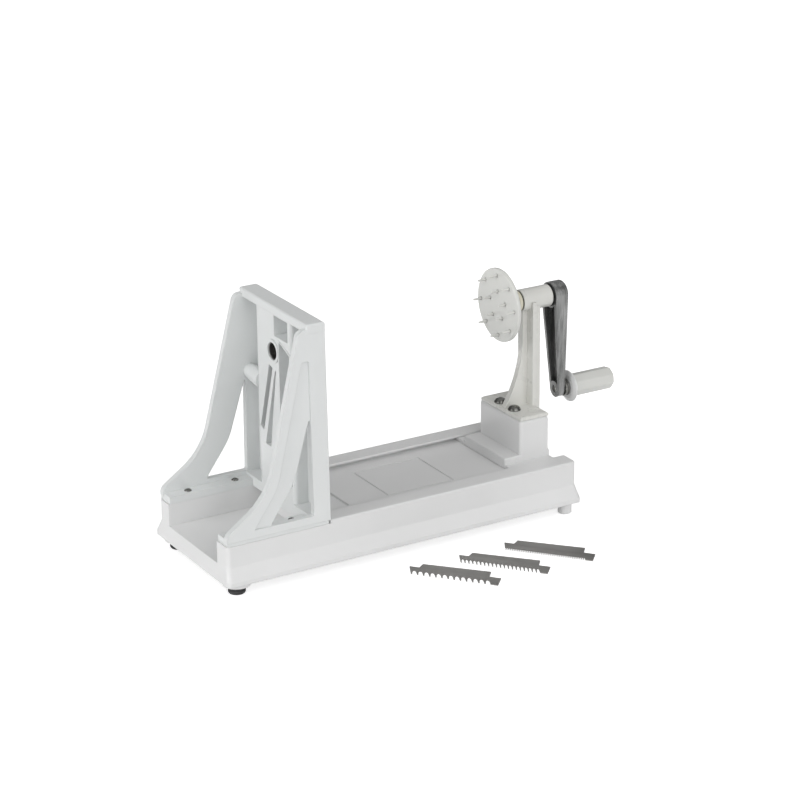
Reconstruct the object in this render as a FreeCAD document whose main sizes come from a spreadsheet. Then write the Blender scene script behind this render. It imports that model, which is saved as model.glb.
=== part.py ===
"""Hand-cranked horizontal vegetable spiralizer with three spare comb blades.

Millimetres, +Z up.  Every piece is drawn in machine coordinates (x from the left end of the base,
y from the centre plane, z from the table) and then placed so that the frame's origin lies on the
table, at the centre of the footprint of the machine and its spare combs.
"""
import FreeCAD, Part
import math
import os
import re

import Sketcher
from FreeCAD import Placement, Rotation, Vector

# Each entry is a driving dimension: alias, value in millimetres, degrees or pieces, what it is.
SIZES = [
    ("frame_x", 219.85, "origin of the frame, from the left end of the base"),
    ("frame_y", 45.13, "origin of the frame, in front of the centre plane"),
    ("foot_height", 12.0, "table to the lower edge of the base"),
    ("base_length", 361.0, "length of the base"),
    ("base_width", 132.0, "width over the two rails"),
    ("base_height", 38.9, "lower edge of the base to the top of the rails"),
    ("wall", 3.0, "moulded wall"),
    ("rail_width", 19.0, "top of one rail"),
    ("bed_drop", 6.0, "top of the rails to the bed"),
    ("lip_thickness", 2.0, "rail lip over the carriage's tongue"),
    ("groove_depth", 7.0, "undercut groove in each rail"),
    ("skirt_side", 6.0, "flare of the skirt on the long sides"),
    ("skirt_end", 2.4, "flare of the skirt on the ends"),
    ("skirt_height", 16.3, "lower edge to the crease where the flare starts"),
    ("skirt_edge", 4.0, "upright lower edge of the skirt"),
    ("step_drop", 3.2, "rail top to the seat of the tower's flanges"),
    ("trough_floor", 15.0, "lower edge of the base to the floor of the trough"),
    ("trough_length", 96.0, "left end of the base to the start of the bed"),
    ("corner_round", 4.0, "upright corners of the base"),
    ("rail_round", 1.6, "long top edges of the rails"),
    ("catch_length", 37.2, "shallow catch recess in front of the tower"),
    ("catch_width", 66.0, "width of the catch recess"),
    ("catch_depth", 2.0, "depth of the catch recess"),
    ("end_step", 9.0, "open end of the bed, right of the carriage"),
    ("panel_start", 180.0, "left end of the base to the bed's framed panel"),
    ("panel_length", 70.0, "framed panel on the bed, along the base"),
    ("panel_width", 64.0, "framed panel on the bed, across"),
    ("panel_line", 1.4, "width of the panel's sunk line"),
    ("panel_depth", 0.7, "depth of the panel's sunk line"),
    ("left_foot_inset", 13.0, "left feet, from the left end"),
    ("left_foot_side_inset", 9.0, "left feet, from the side of the base"),
    ("foot_boss_radius", 12.5, "boss over a rubber foot"),
    ("foot_boss_drop", 4.0, "boss below the lower edge"),
    ("foot_post_radius", 6.6, "post above the boss, inside the base"),
    ("rubber_radius", 8.0, "rubber foot"),
    ("rubber_edge", 1.0, "bevel of the rubber foot's lower edge"),
    ("rubber_waist", 1.2, "groove round the rubber foot"),
    ("foot_screw_radius", 1.9, "shank of the screw in a rubber foot"),
    ("foot_screw_head", 3.6, "head radius of the screw in a rubber foot"),
    ("foot_screw_seat", 4.0, "table to the shoulder of the screw in a rubber foot"),
    ("foot_screw_height", 2.4, "head of the screw in a rubber foot"),
    ("foot_screw_length", 12.0, "shank of the screw in a rubber foot"),
    ("right_foot_inset", 8.5, "peg feet, from the right end"),
    ("right_foot_side_inset", 5.5, "peg feet, from the side of the base"),
    ("peg_radius", 6.5, "peg foot"),
    ("peg_neck", 0.9, "depth and width of the neck near the top of a peg foot"),
    ("peg_spigot_radius", 4.5, "spigot of the peg foot in the base"),
    ("peg_spigot_length", 9.0, "length of that spigot"),
    ("tower_front", 102.8, "left end of the base to the tower's front face"),
    ("tower_height", 182.7, "rail top to the top of the tower"),
    ("tower_lean", 4.15, "lean of each side wall over the tower's height"),
    ("skin", 4.0, "front plate of the tower"),
    ("beam_depth", 18.1, "top beam, front to rear"),
    ("beam_height", 8.5, "top beam, upright"),
    ("beam_round", 1.6, "top edges of the beam"),
    ("beam_overhang", 0.4, "beam past the side walls' upper end"),
    ("rib_depth", 13.8, "rear ribs behind the front plate"),
    ("block_half", 32.5, "half width of the ribbed block"),
    ("block_round", 4.0, "rear upright edges of the ribbed block"),
    ("sill_height", 9.3, "cross sill at the tower's foot"),
    ("gusset_wall", 6.0, "side gusset"),
    ("gusset_recess", 1.5, "sunk panel on the gusset's outer face"),
    ("flange_thickness", 6.5, "gusset's foot flange"),
    ("flange_inset", 0.6, "foot flange short of the gusset's toe and of the rail's outer face"),
    ("toe_x", 1.0, "rear end of the gusset, from the left end"),
    ("toe_rise", 10.0, "toe corner above the flange seat"),
    ("heel_x", 42.1, "corner where slope and upright edge meet, from the left end"),
    ("heel_rise", 38.4, "that corner above the flange seat"),
    ("crown_x", 77.3, "top corner of the gusset, from the left end"),
    ("crown_drop", 4.6, "top corner of the gusset below the tower's top"),
    ("toe_round", 8.0, "round of the toe corner"),
    ("heel_round", 61.0, "round of the hollow corner"),
    ("crown_round", 7.0, "round of the top corner"),
    ("window_right", 86.3, "right edge of the gusset's window, from the left end"),
    ("window_left", 44.0, "left corner of the window"),
    ("window_bend_x", 68.5, "bend in the window's long edge"),
    ("window_bottom_rise", 10.5, "window's lower edge above the flange seat"),
    ("window_bend_rise", 45.0, "bend above the flange seat"),
    ("window_top_rise", 98.5, "window's apex above the flange seat"),
    ("window_tip", 1.6, "width of the window's apex"),
    ("window_round", 1.5, "corners of the window and the sunk panel"),
    ("window_bend_round", 60.0, "round of the bend in the window's edge"),
    ("panel_left", 28.0, "lower left corner of the sunk panel, from the left end"),
    ("panel_heel_x", 52.0, "hollow corner of the sunk panel, from the left end"),
    ("panel_heel_rise", 44.0, "hollow corner of the sunk panel above the flange seat"),
    ("panel_crown_x", 79.5, "top left corner of the sunk panel, from the left end"),
    ("panel_top_rise", 153.0, "top of the sunk panel above the flange seat"),
    ("panel_heel_round", 55.0, "round of the hollow corner of the sunk panel"),
    ("cross_boss_radius", 9.0, "boss between block and gusset, at the block"),
    ("cross_boss_tip", 6.5, "the same boss at the gusset"),
    ("clamp_rise", 103.5, "clamp screw's axis above the rail top"),
    ("clamp_x", 91.0, "clamp screw's axis, from the left end"),
    ("clamp_pad_radius", 8.0, "round pad outside the gusset under the clamp knob"),
    ("clamp_pad_inset", 1.1, "outer face of that pad, from the side of the base"),
    ("clamp_tip_y", 22.0, "inner end of the clamp screw, from the centre plane"),
    ("shaft_rise", 140.5, "crank axis above the rail top"),
    ("corer_radius", 8.2, "corer tube, outside"),
    ("corer_wall", 0.9, "corer tube's wall"),
    ("corer_reach", 14.0, "corer tube in front of the tower"),
    ("bore_ring", 2.6, "ring round the bore, and how far it stands out"),
    ("slot_width", 6.6, "window slot behind the straight blade"),
    ("slot_length", 67.0, "length of that slot"),
    ("slot_tilt", 16.8, "tilt of the slot from upright, degrees"),
    ("slot_y", 15.2, "slot's centre, from the centre plane"),
    ("slot_drop", 47.7, "slot's centre below the crank axis"),
    ("blade_width", 24.0, "straight blade, across"),
    ("blade_length", 78.0, "straight blade, along"),
    ("blade_thickness", 1.2, "straight blade"),
    ("blade_bevel", 0.96, "ground edge of the straight blade"),
    ("blade_gap", 1.6, "straight blade in front of the tower, so that slices pass under it"),
    ("blade_pad_radius", 3.4, "pads that hold the straight blade off the tower"),
    ("blade_shift", 3.0, "straight blade's middle beside the slot's middle"),
    ("blade_screw_shift", 9.5, "blade's screws beside the slot's middle"),
    ("blade_screw_pitch", 56.0, "between the blade's screws"),
    ("blade_screw_radius", 1.5, "shank of the blade's screws"),
    ("blade_screw_head", 3.0, "head radius of the blade's screws"),
    ("blade_screw_height", 1.8, "head of the blade's screws"),
    ("blade_screw_crown", 2.1, "flat crown radius of the blade's screws"),
    ("blade_screw_length", 6.4, "shank of the blade's screws"),
    ("channel_left", -27.0, "near side of the channel above the bore"),
    ("channel_right", -2.0, "far side of the channel above the bore"),
    ("channel_rise", 15.0, "foot of that channel above the crank axis"),
    ("pocket_near", -30.0, "near side of the comb pocket"),
    ("pocket_far", -11.5, "far side of the comb pocket"),
    ("pocket_rise", 12.0, "peak of the comb pocket above the crank axis"),
    ("pocket_shoulder", 8.0, "near shoulder of the comb pocket below its peak"),
    ("pocket_length", 92.0, "comb pocket, upright"),
    ("pocket_rim", 1.4, "raised outline of the comb pocket"),
    ("pocket_round", 1.0, "corners of the comb pocket"),
    ("comb_slot_width", 3.4, "comb's slot in the front plate"),
    ("flute_tip", 1.0, "half width of that hollow's peak"),
    ("flute_top_y", -2.8, "peak of the narrow hollow beside the slot"),
    ("flute_top_drop", 18.1, "that peak below the crank axis"),
    ("flute_low_drop", 93.0, "foot of the narrow hollow below the crank axis"),
    ("flute_low_near", 9.1, "near corner of its foot"),
    ("flute_low_far", 18.9, "far corner of its foot"),
    ("flute_depth", 9.0, "narrow hollow, front to rear"),
    ("bay_near", -29.5, "near side of the small hollow at the block's foot"),
    ("bay_width", 13.0, "small hollow at the block's foot"),
    ("bay_rise", 25.3, "small hollow above the flange seat"),
    ("bay_height", 13.5, "small hollow, upright"),
    ("tower_screw_rear", 22.9, "rear flange screws, from the left end"),
    ("tower_screw_fore", 70.2, "fore flange screws, from the left end"),
    ("tower_screw_inset", 12.2, "flange screws, from the side of the base"),
    ("tower_screw_radius", 1.9, "shank of a flange screw"),
    ("tower_screw_head", 3.4, "head radius of a flange screw"),
    ("tower_screw_dome", 1.8, "head of a flange screw"),
    ("tower_screw_length", 15.0, "shank of a flange screw"),
    ("carriage_front", 303.0, "left end of the base to the carriage's foot"),
    ("carriage_rear", 351.3, "left end of the base to the carriage's rear end"),
    ("carriage_half", 35.2, "half width of the carriage"),
    ("foot_plate", 9.7, "carriage's foot plate"),
    ("slide_gap", 0.35, "running gap between moving pieces"),
    ("pedestal_front", 319.4, "left end of the base to the pedestal"),
    ("pedestal_height", 32.7, "foot plate to the top of the pedestal"),
    ("pedestal_round", 3.0, "edges of the pedestal"),
    ("pedestal_wall", 4.0, "pedestal's wall"),
    ("cap_inset", 1.2, "post's foot inside the pedestal's edge"),
    ("cap_thickness", 3.2, "post's foot"),
    ("cap_chamfer", 1.2, "edge of the post's foot"),
    ("dome_screw_x", 328.0, "dome screws, from the left end"),
    ("dome_screw_y", 11.8, "dome screws, from the centre plane"),
    ("dome_radius", 6.2, "head of a dome screw"),
    ("dome_height", 4.2, "height of that head"),
    ("dome_shank", 2.9, "shank of a dome screw"),
    ("dome_length", 14.0, "length of that shank"),
    ("nut_flats", 8.6, "hexagon nut across flats"),
    ("nut_height", 5.0, "hexagon nut"),
    ("web_half", 3.0, "half thickness of the post's web"),
    ("brace_top_x", 342.6, "front edge of the web under the bearing tube, from the left end"),
    ("brace_foot_x", 323.6, "front edge of the web at its foot, from the left end"),
    ("brace_bend_rise", 30.0, "bend of the web's front edge above the post's foot"),
    ("brace_round", 120.0, "round of that bend"),
    ("post_flange_front", 347.5, "left end of the base to the post's flange"),
    ("post_flange_half", 12.5, "half width of the post's flange"),
    ("spine_depth", 7.2, "post's rear spine"),
    ("spine_half", 9.0, "half width of the rear spine"),
    ("spine_drop", 12.0, "rear spine below the pedestal's top"),
    ("tube_radius", 10.4, "bearing tube"),
    ("tube_start", 340.0, "left end of the base to the bearing tube"),
    ("tube_length", 31.2, "bearing tube"),
    ("bush_wall", 2.2, "bearing bush"),
    ("bush_length", 10.0, "bearing bush"),
    ("bush_flange", 1.0, "bearing bush's flange"),
    ("bush_rim", 9.4, "radius of the bearing bush's flange"),
    ("shaft_radius", 5.0, "drive shaft"),
    ("shaft_chamfer", 0.6, "ends of the drive shaft"),
    ("shaft_clearance", 0.05, "radial running clearance"),
    ("disc_face", 316.9, "left end of the base to the prong disc's face"),
    ("disc_radius", 34.5, "prong disc"),
    ("disc_thickness", 4.0, "prong disc"),
    ("disc_edge", 1.2, "rounded rim of the prong disc"),
    ("disc_hub_radius", 9.0, "hub behind the disc"),
    ("hub_skin", 2.0, "disc left in front of the shaft's end"),
    ("prong_length", 7.8, "outer prongs"),
    ("inner_prong_length", 5.2, "inner prongs"),
    ("prong_radius", 1.5, "prong at its root"),
    ("prong_tip", 0.9, "prong at its tip"),
    ("outer_prong_circle", 27.5, "radius of the outer ring of prongs"),
    ("inner_prong_circle", 12.5, "radius of the inner ring of prongs"),
    ("outer_prongs", 8, "prongs in the outer ring"),
    ("inner_prongs", 5, "prongs in the inner ring"),
    ("outer_prong_turn", 6.0, "first outer prong, degrees"),
    ("inner_prong_turn", 10.0, "first inner prong, degrees"),
    ("collar_length", 3.0, "thrust collar behind the hub"),
    ("collar_radius", 9.8, "thrust collar"),
    ("washer_thickness", 0.8, "dark washer in front of the arm"),
    ("washer_radius", 10.8, "dark washer"),
    ("arm_length", 94.2, "crank axis to handle axis"),
    ("arm_hub_radius", 12.1, "arm's big end"),
    ("arm_end_radius", 7.8, "arm's small end"),
    ("arm_depth", 14.4, "arm, front to rear, at the big end"),
    ("arm_end_step", 6.9, "front edge set back at the small end"),
    ("arm_wall", 2.8, "arm's channel walls"),
    ("arm_round", 2.5, "outer edge of the arm"),
    ("arm_seat", 10.0, "shaft's seat in the arm"),
    ("arm_screw_radius", 2.0, "set screw of the arm"),
    ("pin_radius", 3.5, "handle pin"),
    ("pin_boss_radius", 8.4, "boss of the handle pin"),
    ("pin_boss_length", 5.2, "length of that boss"),
    ("grip_collar_radius", 15.0, "collar of the grip"),
    ("grip_collar_length", 3.0, "collar of the grip"),
    ("grip_flats", 20.2, "eight-sided grip across flats"),
    ("grip_sides", 8, "sides of the grip"),
    ("grip_length", 45.8, "eight-sided grip"),
    ("grip_round", 2.4, "outer end of the grip"),
    ("chamber_radius", 6.2, "chamber in the grip's outer end"),
    ("chamber_depth", 9.0, "depth of that chamber"),
    ("plug_length", 4.0, "plug that closes the chamber"),
    ("clip_radius", 5.4, "retaining ring on the pin"),
    ("clip_thickness", 1.2, "retaining ring on the pin"),
    ("knob_radius", 9.0, "clamp knob"),
    ("knob_neck", 6.0, "neck of the clamp knob"),
    ("knob_length", 13.0, "clamp knob"),
    ("knob_hollow", 2.6, "finger hollow of the clamp knob"),
    ("knob_lobes", 6, "finger hollows round the clamp knob"),
    ("clamp_screw_radius", 2.9, "clamp screw"),
    ("insert_radius", 4.6, "threaded insert of the clamp screw"),
    ("insert_length", 8.0, "threaded insert of the clamp screw"),
    ("comb_thickness", 0.9, "spare comb"),
    ("comb_turn", -49.6, "direction of the spare combs, degrees"),
    ("comb_toothed", 76.4, "toothed edge of a comb"),
    ("comb_left_tab", 5.9, "left tab of a comb, to its back"),
    ("comb_right_tab", 71.0, "right tab of a comb, start"),
    ("comb_right_end", 83.4, "right tab of a comb, end"),
    ("comb_tab_height", 14.6, "tabs of a comb"),
    ("comb_tab_slant", 3.3, "slant of the left tab's end"),
    ("comb_back", 22.6, "teeth to back at the left"),
    ("comb_skew", 2.4, "rise of the comb's back along its length"),
    ("coarse_x", 158.4, "coarse comb's corner, from the left end"),
    ("coarse_y", -102.6, "coarse comb's corner, from the centre plane"),
    ("medium_x", 208.5, "medium comb's corner, from the left end"),
    ("medium_y", -105.0, "medium comb's corner, from the centre plane"),
    ("fine_x", 257.7, "fine comb's corner, from the left end"),
    ("fine_y", -103.2, "fine comb's corner, from the centre plane"),
    ("coarse_teeth", 13, "teeth of the coarse comb"),
    ("medium_teeth", 20, "teeth of the medium comb"),
    ("fine_teeth", 44, "teeth of the fine comb"),
    ("coarse_tooth", 7.6, "height of a coarse tooth"),
    ("medium_tooth", 7.8, "height of a medium tooth"),
    ("fine_tooth", 3.6, "height of a fine tooth"),
    ("tooth_tip", 0.34, "width of a tooth's tip in parts of the pitch"),
    ("tooth_neck", 0.07, "widening of a tooth on each side in parts of the pitch"),
    ("tooth_crown", 0.3, "height of the gap's arch in parts of the pitch"),
]
ALIASES = {alias for alias, _, _ in SIZES}

doc = FreeCAD.newDocument("spiralizer")
sheet = doc.addObject("Spreadsheet::Sheet", "Sizes")
for row, (alias, value, note) in enumerate(SIZES, start=1):
    sheet.set(f"A{row}", alias)
    sheet.set(f"B{row}", str(value))
    sheet.set(f"C{row}", note)
    sheet.setAlias(f"B{row}", alias)
doc.recompute()

# Places that several pieces share, as expressions on the sheet's aliases.
RAIL_TOP = "(foot_height + base_height)"
BED_TOP = f"({RAIL_TOP} - bed_drop)"
SEAT_TOP = f"({RAIL_TOP} - step_drop)"
TROUGH_TOP = "(foot_height + trough_floor)"
BOSS_LOW = "(foot_height - foot_boss_drop)"
RAIL_INNER = "(base_width / 2 - rail_width)"
RAIL_OUTER = "(base_width / 2)"
LEFT_FOOT_Y = "(base_width / 2 - left_foot_side_inset)"
RIGHT_FOOT_Y = "(base_width / 2 - right_foot_side_inset)"
TOWER_SCREW_Y = "(base_width / 2 - tower_screw_inset)"
CLAMP_PAD_Y = "(base_width / 2 - clamp_pad_inset)"
SHAFT_Z = f"({RAIL_TOP} + shaft_rise)"
CLAMP_Z = f"({RAIL_TOP} + clamp_rise)"
TOWER_TOP = f"({RAIL_TOP} + tower_height)"
TOWER_REAR = "(tower_front - skin - rib_depth)"
SLOT_Z = f"({SHAFT_Z} - slot_drop)"
FOOT_LOW = f"({BED_TOP} + slide_gap)"
FOOT_TOP = f"({FOOT_LOW} + foot_plate)"
PEDESTAL_TOP = f"({FOOT_TOP} + pedestal_height)"
CAP_TOP = f"({PEDESTAL_TOP} + cap_thickness)"
TUBE_END = "(tube_start + tube_length)"
BUSH_RADIUS = "(shaft_radius + shaft_clearance + bush_wall)"
COLLAR_X = "(tube_start - bush_flange - slide_gap - collar_length)"
WASHER_X = f"({TUBE_END} + bush_flange + slide_gap)"
ARM_X = f"({WASHER_X} + washer_thickness)"
ARM_END = f"({ARM_X} + arm_depth)"
PIN_START = f"({ARM_X} + arm_end_step + shaft_chamfer)"
HANDLE_Z = f"({SHAFT_Z} - arm_length)"
GRIP_COLLAR_X = f"({ARM_END} + pin_boss_length + slide_gap)"
GRIP_X = f"({GRIP_COLLAR_X} + grip_collar_length)"
GRIP_END = f"({GRIP_X} + grip_length)"
GRIP_BORE = "(pin_radius + shaft_clearance)"
CHAMBER_X = f"({GRIP_END} - chamber_depth)"

WORD = re.compile(r"[a-z][a-z_0-9]*")
UPRIGHT = Rotation()
ALONG_X = Rotation(Vector(0, 1, 0), 90)
BACK_X = Rotation(Vector(0, 1, 0), -90)
ALONG_Y = Rotation(Vector(1, 0, 0), -90)
BACK_Y = Rotation(Vector(1, 0, 0), 90)
SIDES = (("near", "-", -1), ("far", "", 1))
FAR_PAST = "400"
PLACES = {}
NODES = {}


def bind(obj, prop, expression):
    """Binds a property of obj to an expression on the sheet's aliases."""
    text = WORD.sub(lambda m: f"Sizes.{m[0]}" if m[0] in ALIASES else m[0], str(expression))
    obj.setExpression(prop, text)


def number(expression):
    """Returns the present value of an expression on the sheet's aliases."""
    bind(READER, "Value", expression)
    READER.recompute()
    return READER.Value


READER = doc.addObject("App::FeaturePython", "Reader")
READER.addProperty("App::PropertyFloat", "Value")


def put(obj, x="0", y="0", z="0", turn=UPRIGHT):
    """Turns obj and binds the place of its origin."""
    PLACES[obj.Name] = (x, y, z)
    obj.Placement = Placement(Vector(), turn)
    bind(obj, "Placement.Base.x", x)
    bind(obj, "Placement.Base.y", y)
    bind(obj, "Placement.Base.z", z)
    return obj


def keep(node, obj):
    """Names a finished sub-part and moves it from machine coordinates into the frame."""
    x, y, z = PLACES.get(obj.Name, ("0", "0", "0"))
    put(obj, f"{x} - frame_x", f"{y} + frame_y", z, obj.Placement.Rotation)
    obj.Label = node
    NODES[node] = obj
    return obj


def box(name, x, y, z, length, width, height):
    """A box from its lowest corner."""
    obj = doc.addObject("Part::Box", name)
    bind(obj, "Length", length)
    bind(obj, "Width", width)
    bind(obj, "Height", height)
    return put(obj, x, y, z)


def wide_box(name, x, z, length, half_width, height):
    """A box that is centred on the machine's centre plane."""
    return box(name, x, f"-({half_width})", z, length, f"2 * ({half_width})", height)


def rod(name, radius, height, x, y, z, turn=UPRIGHT):
    """A cylinder whose axis is Z, or X or Y where turn says so."""
    obj = doc.addObject("Part::Cylinder", name)
    bind(obj, "Radius", radius)
    bind(obj, "Height", height)
    return put(obj, x, y, z, turn)


def cone(name, start, end, height, x, y, z, turn=UPRIGHT):
    """A truncated cone."""
    obj = doc.addObject("Part::Cone", name)
    bind(obj, "Radius1", start)
    bind(obj, "Radius2", end)
    bind(obj, "Height", height)
    return put(obj, x, y, z, turn)


def prism(name, sides, flats, height, x, y, z, turn=UPRIGHT):
    """A regular prism, sized across its flats."""
    obj = doc.addObject("Part::Prism", name)
    bind(obj, "Polygon", sides)
    bind(obj, "Circumradius", f"({flats}) / 2 / cos(180 / ({sides}))")
    bind(obj, "Height", height)
    return put(obj, x, y, z, turn)


def dome(name, radius, height, x, y, z):
    """A low domed head that stands on z."""
    ball = doc.addObject("Part::Sphere", f"{name}_ball")
    curve = f"((({radius}) ^ 2 + ({height}) ^ 2) / (2 * ({height})))"
    bind(ball, "Radius", curve)
    put(ball, x, y, f"{z} + {height} - {curve}")
    obj = doc.addObject("Part::Common", name)
    obj.Base = ball
    obj.Tool = rod(f"{name}_disc", radius, f"({height}) * 2", x, y, z)
    return obj


def fuse(name, parts):
    """The union of several objects."""
    obj = doc.addObject("Part::MultiFuse", name)
    obj.Shapes = parts
    obj.Refine = True
    return obj


def join(name, parts):
    """The union of several objects, joined one after another."""
    whole = parts[0]
    for index, part in enumerate(parts[1:], start=1):
        step = doc.addObject("Part::Fuse", f"{name}_{index}")
        step.Base = whole
        step.Tool = part
        step.Refine = False
        whole = step
    return whole


def cut(name, base, tools):
    """base without the tools."""
    tool = tools[0] if len(tools) == 1 else fuse(f"{name}_tools", tools)
    obj = doc.addObject("Part::Cut", name)
    obj.Base = base
    obj.Tool = tool
    obj.Refine = True
    return obj


def carve(name, base, tools):
    """base without the tools, taken out one after another."""
    for index, tool in enumerate(tools):
        step = doc.addObject("Part::Cut", f"{name}_{index}")
        step.Base = base
        step.Tool = tool
        step.Refine = index == len(tools) - 1
        base = step
    return base


def group(name, parts):
    """Several separate solids that share one name."""
    obj = doc.addObject("Part::Compound", name)
    obj.Links = parts
    return obj


def rounded(name, base, radius, picks, kind="Part::Fillet"):
    """Rounds, or chamfers, the edges of base that picks says yes to."""
    doc.recompute()
    size = number(radius)
    chosen = [(i, size, size) for i, edge in enumerate(base.Shape.Edges, start=1) if picks(edge)]
    obj = doc.addObject(kind, name)
    obj.Base = base
    obj.Edges = chosen
    return obj


def upright(edge):
    """True for a straight edge along Z."""
    bounds = edge.BoundBox
    return bounds.XLength < 0.01 and bounds.YLength < 0.01 and bounds.ZLength > 0.5


def at(edge, axis, place):
    """True where the whole edge lies at one place along axis."""
    low, high = getattr(edge.BoundBox, f"{axis}Min"), getattr(edge.BoundBox, f"{axis}Max")
    return abs(low - place) < 0.02 and abs(high - place) < 0.02


def sketch_on(body, role, name):
    """A sketch on one of the body's own origin planes."""
    plane = next(f for f in body.Origin.OriginFeatures if f.Role == role)
    obj = body.newObject("Sketcher::SketchObject", name)
    obj.AttachmentSupport = [(plane, "")]
    obj.MapMode = "FlatFace"
    return obj


def outline(sketch, corners):
    """Draws a closed polygon in the sketch, each corner a pair of expressions."""
    places = [Vector(number(x), number(y), 0) for x, y in corners]
    count = len(places)
    for i in range(count):
        sketch.addGeometry(Part.LineSegment(places[i], places[(i + 1) % count]), False)
    for i in range(count):
        sketch.addConstraint(Sketcher.Constraint("Coincident", i, 2, (i + 1) % count, 1))
    for i, (x, y) in enumerate(corners):
        for kind, place, expression in (("DistanceX", places[i].x, x), ("DistanceY", places[i].y, y)):
            if abs(place) < 1e-9:
                line = -2 if kind == "DistanceX" else -1
                sketch.addConstraint(Sketcher.Constraint("PointOnObject", i, 1, line))
            else:
                index = sketch.addConstraint(Sketcher.Constraint(kind, -1, 1, i, 1, place))
                bind(sketch, f"Constraints[{index}]", expression)


def turned(name, corners, x, y, z, turn=UPRIGHT):
    """A turned piece: corners are (radius, distance along the axis), the axis is the body's Z."""
    body = doc.addObject("PartDesign::Body", name)
    profile = sketch_on(body, "XZ_Plane", f"{name}_profile")
    outline(profile, corners)
    spin = body.newObject("PartDesign::Revolution", f"{name}_turned")
    spin.Profile = profile
    spin.ReferenceAxis = (profile, ["V_Axis"])
    spin.Angle = 360
    profile.Visibility = False
    return put(body, x, y, z, turn)


def ring(name, inner, outer, length, x, y="0", z=SHAFT_Z, turn=ALONG_X):
    """A plain ring, round an axis along X unless turn says otherwise."""
    corners = [(inner, "0"), (outer, "0"), (outer, length), (inner, length)]
    return turned(name, corners, x, y, z, turn)


def tangent_wire(corners):
    """A closed wire through (point, radius) corners, with a tangent arc where there is a radius."""
    runs = []
    count = len(corners)
    for i, (point, radius) in enumerate(corners):
        before = (corners[i - 1][0] - point).normalize()
        after = (corners[(i + 1) % count][0] - point).normalize()
        if not radius:
            runs.append((point, point, None))
            continue
        half = before.getAngle(after) / 2
        reach = radius / math.tan(half)
        centre = point + (before + after).normalize() * (radius / math.sin(half))
        middle = centre + (point - centre).normalize() * radius
        runs.append((point + before * reach, point + after * reach, middle))
    edges = []
    for i, (first, last, middle) in enumerate(runs):
        if middle is not None:
            edges.append(Part.Arc(first, middle, last).toShape())
        following = runs[(i + 1) % count][0]
        if last.distanceToPoint(following) > 1e-6:
            edges.append(Part.LineSegment(last, following).toShape())
    return Part.Wire(edges)


def slab_y(corners, start, depth):
    """A flat shape in the XZ plane, corners are (x, z, radius) expressions, extruded along Y."""
    points = [(Vector(number(x), start, number(z)), number(r)) for x, z, r in corners]
    return Part.Face(tangent_wire(points)).extrude(Vector(0, depth, 0))


def slab_x(corners, start, depth):
    """A flat shape in the YZ plane, corners are (y, z, radius) expressions, extruded along X."""
    points = [(Vector(start, number(y), number(z)), number(r)) for y, z, r in corners]
    return Part.Face(tangent_wire(points)).extrude(Vector(depth, 0, 0))


def feature(name, shape):
    """Keeps a shape that is made in code as an object of the document."""
    obj = doc.addObject("Part::Feature", name)
    obj.Shape = shape
    return obj


def rounded_rectangle(x_low, x_high, y_half, z, radius):
    """A level rounded rectangle for the flared skirt."""
    corners = [(x_low, -y_half), (x_high, -y_half), (x_high, y_half), (x_low, y_half)]
    return tangent_wire([(Vector(x, y, z), radius) for x, y in corners])


def skirt():
    """The flared lower part of the base."""
    length, half = number("base_length"), number(RAIL_OUTER)
    out_x, out_y, corner = number("skirt_end"), number("skirt_side"), number("corner_round")
    low = number("foot_height")
    wires = [
        rounded_rectangle(-out_x, length + out_x, half + out_y, low, corner),
        rounded_rectangle(-out_x, length + out_x, half + out_y, low + number("skirt_edge"), corner),
        rounded_rectangle(0, length, half, low + number("skirt_height"), corner),
    ]
    return feature("skirt", Part.makeLoft(wires, True, True))


def base_tools():
    """Everything that is taken out of the solid base."""
    tools = [
        wide_box("bed_channel", "trough_length", BED_TOP, "base_length", RAIL_INNER, FAR_PAST),
        wide_box("groove", "tower_front", BED_TOP, "base_length", f"{RAIL_INNER} + groove_depth",
                 "bed_drop - lip_thickness"),
        wide_box("trough", "-wall * 2", TROUGH_TOP, "trough_length + wall * 2", RAIL_INNER, FAR_PAST),
        wide_box("seat_step", "-wall * 2", SEAT_TOP, "tower_front + wall * 2", "base_width", FAR_PAST),
        wide_box("catch", "tower_front", f"{BED_TOP} - catch_depth", "catch_length", "catch_width / 2",
                 FAR_PAST),
        wide_box("open_end", "base_length - end_step", f"{BED_TOP} - bed_drop", "end_step * 2",
                 RAIL_INNER, FAR_PAST),
        wide_box("under_bed", "trough_length + wall", "0",
                 "base_length - trough_length - end_step - wall * 2", f"{RAIL_OUTER} - wall",
                 f"{BED_TOP} - catch_depth - wall"),
        wide_box("under_trough", "wall", "0", "trough_length - wall", f"{RAIL_OUTER} - wall",
                 f"{TROUGH_TOP} - wall"),
    ]
    for side, sign, _ in SIDES:
        low = f"-({RAIL_OUTER} - wall)" if sign else f"{RAIL_INNER} + wall"
        tools.append(box(f"rail_hollow_{side}", "wall", low, "foot_height", "trough_length - wall",
                         "rail_width - wall * 2", f"{SEAT_TOP} - wall - foot_height"))
        low = f"-({RAIL_OUTER} - wall)" if sign else f"{RAIL_INNER} + groove_depth + wall"
        tools.append(box(f"rail_core_{side}", "tower_front + wall", low, "foot_height",
                         "base_length - tower_front - wall * 2", "rail_width - groove_depth - wall * 2",
                         f"{RAIL_TOP} - wall - foot_height"))
    outer = wide_box("panel_outer", "panel_start", f"{BED_TOP} - panel_depth", "panel_length",
                     "panel_width / 2", FAR_PAST)
    inner = wide_box("panel_inner", "panel_start + panel_line", "0", "panel_length - 2 * panel_line",
                     "panel_width / 2 - panel_line", FAR_PAST)
    tools.append(cut("panel_frame", outer, [inner]))
    return tools


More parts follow.
